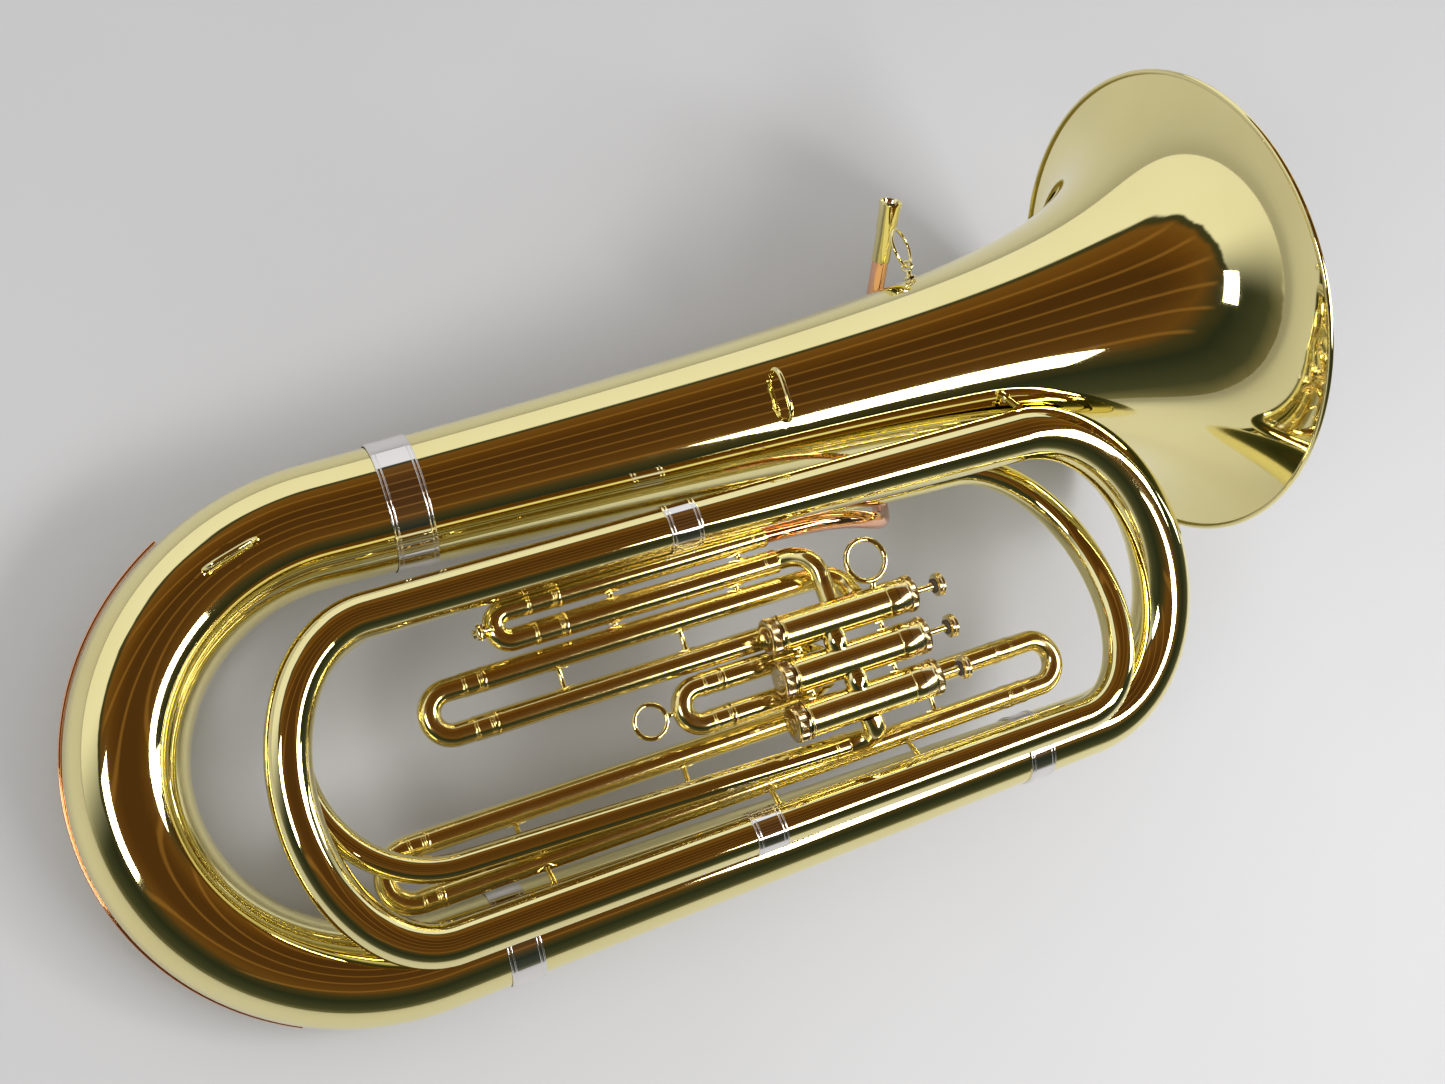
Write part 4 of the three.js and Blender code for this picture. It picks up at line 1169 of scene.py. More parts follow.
@dataclass
class Tubing:
    """The fixed tubes of the valve section, with their rings, collars and braces."""

    radius: float = SLEEVE_RADIUS
    crook_radius: float = 6.8
    exit_radius: float = 7.8

    def back_route(self, slide: Slide, y: float, end: float, row: float) -> np.ndarray:
        """A sleeve that turns up into the back of a casing.

        Args:
            slide: the slide that it belongs to.
            y: its leg's place.
            end: where on x it meets the casing.
            row: the casing's place on y.

        Returns:
            Stations along its centreline.
        """
        back = VALVES.z - VALVES.bore
        side = 1 if end > slide.sleeve_x else -1
        z = slide.z
        turn = [
            vec(end - 22 * side, y, z), vec(end - 12 * side, y, z + 0.2),
            vec(end - 3.5 * side, y + (row - y) * 0.2, z + (back - z) * 0.35), vec(end, row, back),
        ]
        return np.vstack([vec(slide.sleeve_x, y, z), smooth_line(turn, 8)])

    def short_route(self, slide: Slide, y: float, end: float, side: int) -> np.ndarray:
        """A short sleeve that turns into the middle casing.

        Args:
            slide: the slide that it belongs to.
            y: its leg's place.
            end: where on x it meets the casing.
            side: 1 for the side towards the bell, and -1 for the other.

        Returns:
            Stations along its centreline.
        """
        angle = math.radians(50 if side > 0 else 130)
        reach = VALVES.bore
        port = vec(end, VALVES.rows[1] + reach * math.cos(angle), VALVES.z - reach * math.sin(angle))
        z = slide.z
        turn = [vec(end - 22, y, z), vec(end - 11, y, z + 0.2), vec(end - 3, y - side * 0.6, z + 3.6), port]
        return np.vstack([vec(slide.sleeve_x, y, z), smooth_line(turn, 8)])

    def collar(self, x: float, y: float, z: float, radius: float, length: float = 11.0) -> Sketch:
        """A plain collar with a bead at each end, on a tube along x.

        Args:
            x: its middle.
            y: the tube's place.
            z: the tube's place.
            radius: of the tube.
            length: of the collar.

        Returns:
            The collar.
        """
        half = length / 2
        skin = radius + 0.2
        profile = [(-half, radius - 0.9), (-half, skin), *bead(-half + 0.7, skin, 0.35), *bead(-half + 2.1, skin, 0.35)]
        profile += [*bead(half - 0.7, skin, 0.35), (half, skin), (half, radius - 0.9)]
        made = Sketch()
        made.turned(profile, vec(x, y, z), X_AXIS, 48, closed=True)
        return made

    def build(self, branches: Branches) -> None:
        """Makes every fixed tube of the valve section.

        Args:
            branches: the tubes that the braces reach.
        """
        self.build_main()
        self.build_first()
        self.build_second()
        self.build_third(branches)
        self.build_exit()

    def build_main(self) -> None:
        """The main slide's sleeves and the crook into the first valve."""
        upper, lower = MAIN.legs()
        first_upper = FIRST.legs()[0]
        pipe = tube(np.array([upper.at(MAIN.sleeve_x), upper.at(428.1)]), self.radius, sides=40)
        parts = [pipe, MAIN.mouth_ring(upper), self.collar(421.5, upper.y, upper.z, SLEEVE_RADIUS)]
        piece("main_upper_sleeve_tube", parts, Finish.TUBING, stands_for=["main_slide_upper_sleeve"])
        y, z = lower.y, lower.z
        crook = smooth_line([
            vec(425, y, z + 0.1), vec(433, y, z + 1), vec(441, y - 0.6, z + 7), vec(448, y - 5, z + 14),
            vec(452, y - 13, z + 17.6), vec(452.6, y - 22, z + 18), vec(452.5, VALVES.rows[0] + VALVES.bore, 58),
        ], 8)
        lower_parts = [
            tube(np.array([lower.at(MAIN.sleeve_x), lower.at(431)]), self.radius, sides=40),
            tube(crook, self.crook_radius, sides=36), MAIN.mouth_ring(lower),
            self.collar(425.5, y, z, SLEEVE_RADIUS),
        ]
        for x in (311.8, 405.8):
            lower_parts += strut(x, lower, upper, 2.1, 14.0)
        for x in (310, 398.7):
            lower_parts += strut(x, lower, first_upper)
        piece("main_lower_sleeve_tube", lower_parts, Finish.TUBING, stands_for=["main_slide_lower_sleeve"])

    def build_first(self) -> None:
        """The first slide's sleeves."""
        upper, lower = FIRST.legs()
        y, z = upper.y, upper.z
        route = smooth_line([
            vec(448, y, z), vec(458, y - 0.2, z + 0.4), vec(467, y - 3.6, z + 2.4), vec(472.5, y - 10, z + 7),
            vec(474, y - 21, z + 16),
        ], 8)
        upper_line = np.vstack([upper.at(FIRST.sleeve_x), route])
        parts = [tube(upper_line, self.radius, sides=40), FIRST.mouth_ring(upper)]
        piece("first_upper_sleeve_tube", parts, Finish.TUBING, stands_for=["first_slide_upper_sleeve"])
        lower_line = self.back_route(FIRST, lower.y, 431, VALVES.rows[0])
        lower_parts = [tube(lower_line, self.radius, sides=40), FIRST.mouth_ring(lower)]
        for x in (265, 351.9):
            lower_parts += strut(x, lower, upper)
        piece("first_lower_sleeve_tube", lower_parts, Finish.TUBING, stands_for=["first_slide_lower_sleeve"])

    def build_second(self) -> None:
        """The second slide's two short sleeves."""
        for leg, side, word in zip(SECOND.legs(), (1, -1), ("upper", "lower")):
            line = self.short_route(SECOND, leg.y, 436, side)
            parts = [tube(line, self.radius, sides=40), SECOND.mouth_ring(leg)]
            piece(f"second_{word}_sleeve_tube", parts, Finish.TUBING, stands_for=[f"second_slide_{word}_sleeve"])

    def build_third(self, branches: Branches) -> None:
        """The third slide's sleeves on both sides.

        Args:
            branches: the tubes that the braces reach.
        """
        row = VALVES.rows[2]
        for slide, end, word in ((THIRD_LEFT, 431, "left"), (THIRD_RIGHT, 488, "right")):
            upper = slide.legs()[0]
            parts = [tube(self.back_route(slide, upper.y, end, row), self.radius, sides=40), slide.mouth_ring(upper)]
            node = f"third_slide_upper_{word}_sleeve"
            piece(f"third_upper_{word}_sleeve_tube", parts, Finish.TUBING, stands_for=[node])
        left_upper, lower = THIRD_LEFT.legs()
        right_upper = THIRD_RIGHT.legs()[0]
        line = np.array([lower.at(THIRD_LEFT.sleeve_x), lower.at(THIRD_RIGHT.sleeve_x)])
        parts = [tube(line, self.radius, sides=40), THIRD_LEFT.mouth_ring(lower), THIRD_RIGHT.mouth_ring(lower)]
        for x in (212.2, 331.4):
            parts += strut(x, lower, left_upper)
        parts += strut(522.4, lower, right_upper)
        for x in (222.7, 384, 492.4):
            parts += strut(x, lower, branches.inner_return)
        piece("third_lower_sleeve_tube", parts, Finish.TUBING, stands_for=["third_slide_lower_sleeve"])

    def build_exit(self) -> None:
        """The elbow from the third valve to the innermost bow."""
        line = smooth_line([
            vec(457, VALVES.rows[2] - VALVES.bore, 56), vec(458.4, -237, 54), vec(455.5, -242, 47.5),
            vec(446, -243, 42), vec(436, -243, 40.2), vec(430.3, -243, 40),
        ], 8)
        parts = [tube(line, self.exit_radius, sides=40), self.collar(435.5, -243, 40.1, SLEEVE_RADIUS, 12)]
        piece("exit_elbow_tube", parts, Finish.TUBING, stands_for=["valve_exit_elbow"])


# ---------------------------------------------------------------- valves


@dataclass
class Valve:
    """One valve: casing, caps, piston stem, button and felt."""

    number: int
    y: float

    def turned_piece(
        self, part: str, profile: Profile, finish: Finish, body: str, extra: Sequence[bpy.types.Mesh] = ()
    ) -> None:
        """Turns a profile about the valve's axis and stands it in for one CAD node.

        Args:
            part: the part's name, as the CAD node has it after the valve's number.
            profile: its profile; one that leaves the axis free makes a ring.
            finish: its finish.
            body: the body it rides on.
            extra: more meshes to join to it.
        """
        sketch = Sketch()
        hollow = min(radius for _, radius in profile) > 0
        sketch.turned(profile, vec(0, self.y, VALVES.z), X_AXIS, 72, closed=hollow)
        node = f"valve_{self.number}_{part}"
        piece(f"{node}_turned", [sketch, *extra], finish, body, [node])

    def build(self) -> None:
        """Makes the valve's pieces."""
        self.build_casing()
        self.build_caps()
        self.build_moving()

    def build_casing(self) -> None:
        """The casing, with a raised band at each end and the posts on the middle one."""
        r = VALVES.casing_radius
        bore = VALVES.bore - 0.1
        profile = [(410.1, bore), (410.1, r + 0.3), *bead(411.6, r + 0.15, 0.8), (413.6, r), (470, r)]
        profile += [*bead(490.5, r, 0.5), (492, r + 0.35), (497.6, r + 0.45), (497.9, r), (497.9, bore)]
        extra: list[bpy.types.Mesh] = []
        if self.number == 2:
            own = Leg(self.y, VALVES.z, r)
            for neighbour in (VALVES.rows[0], VALVES.rows[2]):
                for x in (421.5, 484.4):
                    extra += [s.mesh() for s in strut(x, own, Leg(neighbour, VALVES.z, r), 1.8, 8.0)]
        self.turned_piece("casing", profile, Finish.TUBING, "body", extra)

    def build_caps(self) -> None:
        """The knurled caps at both ends."""
        r, bore = VALVES.cap_radius, VALVES.cap_bore
        bottom = [
            (401.6, 0), (401.5, 3.2), (401.2, 3.5), (401.2, 4.1), (401.5, 4.4), (401.0, 8.6), (400.5, 10.6),
            (400.5, 11.8), (400.9, r - 0.5), (401.8, r - 0.1), (402.6, r - 0.5), (407.2, r - 0.5), (408.1, r - 0.1),
            (409.0, r - 0.3), (409.7, r - 1.2), (409.7, bore), (403.4, bore), (403.4, 0),
        ]
        ribs = knurl(404.8, self.y, VALVES.z, r - 0.55, 4.6)
        self.turned_piece("bottom_cap", bottom, Finish.CAP, "body", [ribs])
        top = [
            (498.2, bore), (498.2, 12.5), (505.0, 12.6), (506.0, 12.2), (506.8, 12.9), (507.4, r), (508.2, r - 0.5),
            (511.4, r - 0.5), (512.2, r - 0.1), (512.9, r - 1.1), (513.4, 10.8), (514.3, 7.4), (514.8, 4.2),
            (514.8, 3.2), (511.6, 3.2), (511.6, bore),
        ]
        top_ribs = knurl(509.8, self.y, VALVES.z, r - 0.55, 3.2)
        self.turned_piece("top_cap", top, Finish.CAP, "body", [top_ribs])

    def build_moving(self) -> None:
        """The piston with its stem, the felt and the finger button."""
        body = f"valve_{self.number}"
        wide, thin = VALVES.piston_radius, VALVES.stem_radius
        self.turned_piece("piston", [(424.2, 0), (424.2, wide), (486, wide), (486, 0)], Finish.STEEL, body)
        stem = Sketch()
        stem.turned(
            [(485.5, 0), (485.5, thin), (528.2, thin), (528.8, 3.0), (529.9, 3.0), (529.9, 0)],
            vec(0, self.y, VALVES.z), X_AXIS, 32,
        )
        piece(f"valve_{self.number}_stem", [stem], Finish.BRASS, body)
        button = [
            (531.4, 0), (531.4, 5.0), (531.8, 7.4), (532.3, 8.1), (532.9, 8.1), (533.3, 7.7), (534.2, 7.7),
            (534.7, 8.3), (536.3, 8.4), (537.1, 7.8), (537.3, 6.8), (536.8, 6.2), (536.6, 3.0), (536.7, 0),
        ]
        self.turned_piece("button", button, Finish.CAP, body)
        felt = Sketch()
        felt.turned(
            [(530.1, 0), (530.1, 4.6), (530.4, 5.3), (531.2, 5.3), (531.4, 4.8), (531.4, 0)],
            vec(0, self.y, VALVES.z), X_AXIS, 40,
        )
        piece(f"valve_{self.number}_felt", [felt], Finish.FELT, body)


def clear_of_bores(points: np.ndarray) -> np.ndarray:
    """Moves points that lie inside a casing out into its wall.

    Args:
        points: n by 3 array.

    Returns:
        The moved points.
    """
    wall = (VALVES.bore + VALVES.casing_radius) / 2
    moved = points.copy()
    for row in VALVES.rows:
        away = moved[:, 1:] - np.array([row, VALVES.z])
        reach = np.maximum(np.linalg.norm(away, axis=1, keepdims=True), 1e-6)
        moved[:, 1:] += np.where(reach < wall, away * (wall / reach - 1), 0.0)
    return moved


def build_knuckles() -> None:
    """The two short bulged tubes between the casings."""
    for number, x in ((1, 447.0), (2, 453.0)):
        first, second = VALVES.rows[number - 1], VALVES.rows[number]
        half = (abs(first - second) / 2) - 3.5
        ends = [math.radians(a) for a in range(-66, 67, 12)]
        profile = [(-half, 0), *[(half * a / ends[-1], 1.7 + 6.6 * math.cos(a)) for a in ends], (half, 0)]
        barrel = Sketch()
        barrel.turned(profile, vec(x, (first + second) / 2, VALVES.z + 3.2), Y_AXIS, 56)
        barrel.points = [clear_of_bores(points) for points in barrel.points]
        piece(f"valve_knuckle_{number}_barrel", [barrel], Finish.BRASS, stands_for=[f"valve_knuckle_{number}"])


def dress_springs() -> None:
    """Gives the springs, sealed in the casings, their plated finish."""
    for number in (1, 2, 3):
        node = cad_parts[f"valve_{number}_spring"]
        node.data.materials.clear()
        node.data.materials.append(Finish.STEEL.material)


# ---------------------------------------------------------------- rings, loops and water key


@dataclass
class Rings:
    """Thumb ring, pull ring, strap ring and the two strap loops."""

    thumb: tuple[float, float, float] = (486.4, -126.2, 60.0)
    pull: tuple[float, float, float] = (314.2, -187.0, 34.8)
    thumb_size: tuple[float, float] = (14.5, 2.0)
    pull_size: tuple[float, float] = (11.3, 1.8)
    strap_x: float = 613.0
    strap_bearing: float = 8.0
    strap_radius: float = 14.5
    bow_radii: tuple[float, float] = (43.8, 37.8)
    bell_loop_x: float = 463.0

    def build(self, branches: Branches) -> None:
        """Makes every ring and loop.

        Args:
            branches: the tubes, for the loop on the bottom bow.
        """
        self.build_thumb_ring()
        self.build_pull_ring()
        self.build_strap_ring()
        bell_top = vec(self.bell_loop_x, -1, FLARE.radius(self.bell_loop_x))
        bell_line = straight(vec(400, 0, 0), vec(530, 0, 0), 66)
        bell_plate = self.plate(bell_line, [FLARE.radius(x) for x in bell_line[:, 0]], bell_top, Y_AXIS)
        self.build_loop("strap_loop_bell", bell_top, Y_AXIS, 18, 14.4, bell_plate)
        along = unit(vec(0.957, 0.291, 0))
        bow = branches.bottom_line(120)[:60]
        radii = np.linspace(*self.bow_radii, 60) * branches.bottom_trim
        bow_top = vec(88, -10, 44.2)
        self.build_loop("strap_loop_bow", bow_top, along, 18, 13.0, self.plate(bow, radii, bow_top, along))
        self.build_bell_brace()

    def build_thumb_ring(self) -> None:
        """The ring for the thumb, on a short foot that reaches the first casing."""
        centre = np.array(self.thumb)
        ring = Sketch()
        ring.torus(centre, Z_AXIS, *self.thumb_size, 1.1)
        foot = centre + np.array([[0, -14.2, 0], [0, -16.2, -0.2], [0, -19.6, -0.8]])
        ring.swept(foot, lambda share: 1.8 + 0.9 * share, 16)
        piece("thumb_ring_wire", [ring], Finish.BRASS, stands_for=["thumb_ring"])

    def build_pull_ring(self) -> None:
        """The ring that pulls the second slide, with the nib that joins it to the crook."""
        centre = np.array(self.pull)
        ring = Sketch()
        ring.torus(centre, Z_AXIS, *self.pull_size)
        nib = np.array([centre + vec(11.2, 0.2, 0), centre + vec(16.2, 0.4, 0)])
        ring.swept(nib, lambda share: 1.5 + 0.5 * share, 14)
        piece("second_slide_ring_wire", [ring], Finish.BRASS, "second_slide", ["second_slide_ring"])

    def build_strap_ring(self) -> None:
        """The free ring, the eye that holds it and the eye's flange."""
        normal = unit(vec(0.65, 0, 0.76))
        hinge = unit(np.cross(normal, Y_AXIS))
        centre = FLARE.point(self.strap_x, self.strap_bearing, 9.1)
        eye = Sketch()
        eye.torus(centre, hinge, 3.8, 1.0)
        outwards = unit(vec(0, centre[1], centre[2]))
        root = FLARE.point(self.strap_x, self.strap_bearing, 0.3)
        axis_foot = [(0, 0), (0, 5.4), (0.9, 5.0), (1.4, 3.2), (2.6, 2.3), (4.6, 1.9), (4.9, 0)]
        eye.turned(axis_foot, root, outwards, 32)
        piece("strap_eye_wire", [eye], Finish.BRASS, stands_for=["strap_eye"])
        ring = Sketch()
        ring.torus(centre + vec(0, self.strap_radius, 0), normal, self.strap_radius, 1.3)
        piece("strap_ring_wire", [ring], Finish.BRASS, "strap_ring", ["strap_ring"])

    def build_loop(
        self, node: str, centre: np.ndarray, along: np.ndarray, half: float, height: float, plate: Sketch
    ) -> None:
        """A staple of round wire on two feet, with a long diamond plate under it.

        Args:
            node: the CAD node it stands for.
            centre: middle of the plate's top.
            along: direction from foot to foot.
            half: half the distance between the feet.
            height: of the staple over the plate.
            plate: the plate that it stands on.
        """
        def at(share: float, rise: float) -> np.ndarray:
            """A point along the staple, raised over its plate."""
            return centre + along * share + vec(0, 0, rise)

        foot = half * 0.92
        line = smooth_line([
            at(-foot, -1.6), at(-half, height * 0.45), at(-half * 0.8, height * 0.84), at(-half * 0.5, height),
            at(half * 0.5, height), at(half * 0.8, height * 0.84), at(half, height * 0.45), at(foot, -1.6),
        ], 8)
        loop = Sketch()
        loop.swept(line, lambda share: 1.75, 16)
        piece(f"{node}_wire", [loop, plate], Finish.BRASS, stands_for=[node])

    def plate(
        self, line: np.ndarray, radii: Sequence[float], centre: np.ndarray, along: np.ndarray,
        length: float = 52.0, width: float = 19.0,
    ) -> Sketch:
        """A thin diamond plate that follows a tube's surface.

        Args:
            line: the tube's centreline.
            radii: its radius at each station.
            centre: middle of the plate.
            along: direction of its long diagonal.
            length: of the long diagonal.
            width: of the short diagonal.

        Returns:
            The plate.
        """
        side = np.cross(Z_AXIS, along)
        steps = np.linspace(-1, 1, 15)
        layers = []
        for height in (-0.4, 0.45):
            rows = []
            for s in steps:
                spots = [centre + along * (s + t) / 4 * length + side * (s - t) / 4 * width for t in steps]
                rows.append([self.on_tube(line, radii, spot, height) for spot in spots])
            layers.append(np.array(rows))
        last = len(steps) - 1
        edge = [(0, k) for k in range(last)] + [(k, last) for k in range(last)]
        edge += [(last, last - k) for k in range(last)] + [(last - k, 0) for k in range(last)]
        made = Sketch()
        made.grid(np.array([[layer[i][k] for i, k in edge] for layer in layers]))
        for layer in layers:
            made.grid(layer, close_columns=False)
        return made

    def on_tube(self, line: np.ndarray, radii: Sequence[float], spot: np.ndarray, height: float) -> np.ndarray:
        """The point of a tube's surface nearest a spot, moved out by a height.

        Args:
            line: the tube's centreline.
            radii: its radius at each station.
            spot: where to look from.
            height: how far to move out.

        Returns:
            The point.
        """
        nearest = int(np.argmin(np.linalg.norm(line - spot, axis=1)))
        tangent = unit(line[min(nearest + 1, len(line) - 1)] - line[max(nearest - 1, 0)])
        outwards = spot - line[nearest]
        slide = float(outwards @ tangent)
        outwards = outwards - tangent * slide
        return line[nearest] + tangent * slide + unit(outwards) * (radii[nearest] + height)

    def build_bell_brace(self) -> None:
        """The short brace between the bell and the top bow."""
        start, end = FLARE.point(633, 128, 0.4), vec(633, -53.6, 67.5)
        axis = unit(end - start)
        length = float(np.linalg.norm(end - start))
        post = Sketch()
        post.turned(
            [(-0.4, 0), (-0.4, 3.6), (0.5, 3.2), (1.4, 2.2), (length - 1.4, 2.2), (length - 0.4, 3.2),
             (length + 0.3, 3.4), (length + 0.3, 0)],
            start, axis, 32,
        )
        piece("bell_brace_post", [post], Finish.BRASS, stands_for=["bell_brace"])


@dataclass
class WaterKey:
    """The water key on the tip of the main slide."""

    x: float = 219.8
    y: float = -98.7
    z: float = 49.5
    spout_z: float = 40.0

    def plate(self, low: np.ndarray, high: np.ndarray) -> Sketch:
        """A small plate with bevelled edges, between two corners.

        Args:
            low: the corner with the least x, y and z.
            high: the corner with the most.

        Returns:
            The plate.
        """
        bevel = min(0.35, float(np.min(high - low)) * 0.25)
        rows = []
        for z, shrink in ((low[2], bevel), (low[2] + bevel, 0.0), (high[2] - bevel, 0.0), (high[2], bevel)):
            x0, x1, y0, y1 = low[0] + shrink, high[0] - shrink, low[1] + shrink, high[1] - shrink
            rows.append([vec(x0, y0, z), vec(x1, y0, z), vec(x1, y1, z), vec(x0, y1, z)])
        made = Sketch()
        made.grid(np.array(rows))
        made.add(np.array(rows[0]), [(3, 2, 1, 0)])
        made.add(np.array(rows[-1]), [(0, 1, 2, 3)])
        return made

    def build(self) -> None:
        """Makes the spout and bracket, then the lever with its cork."""
        x, y, z, low = self.x, self.y, self.z, self.spout_z
        spout = Sketch()
        spout.turned([(2.8, 2.0), (2.8, 4.0), (2.0, 3.4), (0.6, 3.0), (-0.2, 3.0), (-0.2, 2.0)],
                     vec(x, y, low), X_AXIS, 40, closed=True)
        ears = [self.plate(vec(x - 2.4, y + s, z - 4.4), vec(x + 3.3, y + s + 1.2, z + 2.4)) for s in (-4.8, 3.6)]
        back = self.plate(vec(x + 1.8, y - 4.8, low - 3), vec(x + 3.3, y + 4.8, z - 2.2))
        piece("water_key_bracket", [spout, back, *ears], Finish.BRASS, "main_slide", ["water_key_saddle"])
        lever = Sketch()
        lever.turned([(-3.2, 0), (-3.2, 1.7), (-2.6, 2.0), (2.6, 2.0), (3.2, 1.7), (3.2, 0)], vec(x, y, z), Y_AXIS, 28)
        lever.turned([(-5.6, 0), (-5.6, 0.7), (-5.2, 0.9), (5.2, 0.9), (5.6, 0.7), (5.6, 0)], vec(x, y, z), Y_AXIS, 20)
        arm = smooth_line([
            vec(x - 2.4, y, low + 0.5), vec(x - 2.5, y, z - 4), vec(x - 1, y, z - 1), vec(x, y, z + 1),
        ], 6)
        lever.swept(arm, lambda share: 1.0 + 0.2 * share, 12)
        touch = smooth_line([vec(x, y, z + 1), vec(x + 2.4, y, z + 3.1), vec(x + 7.6, y, z + 4.8)], 8)
        lever.swept(touch, lambda share: 1.1 + 1.3 * share ** 2, 14, flat=0.5)
        lever.turned([(-3.2, 0), (-3.2, 2.9), (-2.0, 3.1), (-1.6, 2.6), (-1.6, 0)], vec(x, y, low), X_AXIS, 36)
        piece("water_key_arm", [lever], Finish.BRASS, "water_key", ["water_key_lever"])
        cork = Sketch()
        cork.turned([(-1.7, 0), (-1.7, 2.5), (-0.5, 2.5), (-0.4, 2.2), (-0.4, 0)], vec(x, y, low), X_AXIS, 36)
        piece("water_key_cork", [cork], Finish.CORK, "water_key")


# ---------------------------------------------------------------- studio


@dataclass(frozen=True)
class Softbox:
    """A large soft light that looks at a point."""

    name: str
    spot: tuple[float, float, float]
    size: tuple[float, float]
    power: float
    color: tuple[float, float, float] = (1.0, 1.0, 1.0)

    def build(self) -> None:
        """Adds the light."""
        data = bpy.data.lights.new(self.name, "AREA")
        data.shape = "RECTANGLE"
        data.size, data.size_y = self.size
        data.energy = self.power
        data.color = self.color
        lamp = bpy.data.objects.new(self.name, data)
        bpy.context.scene.collection.objects.link(lamp)
        lamp.matrix_world = looking(np.array(self.spot), np.zeros(3))


def looking(spot: np.ndarray, target: np.ndarray, up: np.ndarray = Z_AXIS) -> Matrix:
    """The placement of something that looks along its own -z.

    Args:
        spot: where it is.
        target: what it looks at.
        up: the rough upward direction.

    Returns:
        Its world matrix.
    """
    back = unit(spot - target)
    right = unit(np.cross(up, back))
    upwards = np.cross(back, right)
    columns = np.array([right, upwards, back]).T
    return Matrix([[*columns[i], spot[i]] for i in range(3)] + [[0.0, 0.0, 0.0, 1.0]])


@dataclass
class Studio:
    """The floor, the lights and the camera."""

    eye: tuple[float, float, float] = (60.135, -131.954, 1004.542)
    view: tuple[float, float, float] = (0.32998842, 0.04513816, -0.94290518)
    down: tuple[float, float, float] = (-0.26254945, -0.95505647, -0.13760426)
    focal: float = 1500.0
    width: float = 1445.0
    far_wall: tuple[Stop, ...] = (
        (0.0, (0.60, 0.60, 0.60)), (0.49, (0.74, 0.74, 0.74)), (0.52, (0.84, 0.84, 0.85)), (0.80, (0.88, 0.88, 0.89)),
        (0.812, (0.045, 0.05, 0.03)), (0.83, (0.05, 0.045, 0.02)), (0.85, (0.17, 0.078, 0.018)),
        (0.93, (0.12, 0.050, 0.010)), (1.0, (0.07, 0.03, 0.008)),
    )
    near_wall: tuple[Stop, ...] = (
        (0.0, (0.55, 0.55, 0.55)), (0.505, (0.62, 0.61, 0.57)), (0.525, (0.16, 0.15, 0.10)),
        (0.60, (0.055, 0.06, 0.04)), (0.78, (0.022, 0.028, 0.018)), (0.86, (0.05, 0.042, 0.02)),
        (0.92, (0.13, 0.06, 0.015)), (1.0, (0.08, 0.035, 0.01)),
    )

    def build(self) -> None:
        """Sets up everything round the instrument."""
        self.build_camera()
        self.build_floor()
        self.build_world()
        bpy.context.scene.view_settings.view_transform = "Standard"
        for light in (
            Softbox("ceiling_panel", (1.0, -1.0, 1.85), (1.7, 0.42), 26.0),
            Softbox("near_panel", (1.9, -0.9, 1.9), (0.5, 0.5), 11.0),
            Softbox("right_window", (2.6, -0.4, 0.9), (0.5, 0.8), 6.0, (0.97, 0.98, 1.0)),
            Softbox("left_window", (-2.2, -0.5, 1.9), (0.9, 0.5), 16.0, (1.0, 0.99, 0.97)),
        ):
            light.build()

    def build_camera(self) -> None:
        """The camera at the viewing angle."""
        data = bpy.data.cameras.new("camera")
        data.sensor_width = 36.0
        data.lens = 36.0 * self.focal / self.width
        data.clip_start, data.clip_end = 0.05, 30.0
        camera = bpy.data.objects.new("camera", data)
        bpy.context.scene.collection.objects.link(camera)
        turn = LYING.turn()
        spot = LYING.place(np.array(self.eye))
        upwards = turn @ -np.array(self.down)
        camera.matrix_world = looking(spot, spot + turn @ np.array(self.view), upwards)
        bpy.context.scene.camera = camera

    def build_floor(self) -> None:
        """A plain pale floor, just under the lowest point."""
        low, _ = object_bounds()
        half, z = 12.0, low[2] - 0.0003
        mesh = bpy.data.meshes.new("floor")
        corners = [(-half, -half, z), (half, -half, z), (half, half, z), (-half, half, z)]
        mesh.from_pydata(corners, [], [(0, 1, 2, 3)])
        material = bpy.data.materials.new("pale_floor")
        material.use_nodes = True
        tree = material.node_tree
        shader = tree.nodes["Principled BSDF"]
        shader.inputs["Roughness"].default_value = 0.55
        place = node_of(tree, "ShaderNodeTexCoord").outputs["Object"]
        clouds = node_of(tree, "ShaderNodeTexNoise", in_Scale=2.2, in_Detail=3.0)
        mix = node_of(tree, "ShaderNodeMix", data_type="RGBA")
        mix.inputs["A"].default_value = (0.44, 0.44, 0.45, 1.0)
        mix.inputs["B"].default_value = (0.48, 0.48, 0.49, 1.0)
        tree.links.new(place, clouds.inputs["Vector"])
        tree.links.new(clouds.outputs["Fac"], mix.inputs["Factor"])
        tree.links.new(mix.outputs["Result"], shader.inputs["Base Color"])
        mesh.materials.append(material)
        floor = bpy.data.objects.new("floor", mesh)
        bpy.context.scene.collection.objects.link(floor)
        floor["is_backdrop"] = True

    def build_world(self) -> None:
        """A pale room: light walls, and a darker, warm ceiling that the metal picks up as soft bands."""
        world = bpy.data.worlds.new("room")
        bpy.context.scene.world = world
        world.use_nodes = True
        tree = world.node_tree
        background = tree.nodes["Background"]
        background.inputs["Strength"].default_value = 1.0
        way = node_of(tree, "ShaderNodeTexCoord").outputs["Generated"]
        walls, height = self.walls(tree, way)
        matte = node_of(tree, "ShaderNodeMix", data_type="RGBA")
        matte.inputs["B"].default_value = (0.86, 0.85, 0.84, 1.0)
        rays = node_of(tree, "ShaderNodeLightPath")
        plain = node_of(tree, "ShaderNodeMath", operation="MAXIMUM")
        link = tree.links.new
        link(rays.outputs["Is Diffuse Ray"], plain.inputs[0])
        link(rays.outputs["Is Camera Ray"], plain.inputs[1])
        link(plain.outputs[0], matte.inputs["Factor"])
        link(self.planks(tree, way, walls, height), matte.inputs["A"])
        link(matte.outputs["Result"], background.inputs["Color"])

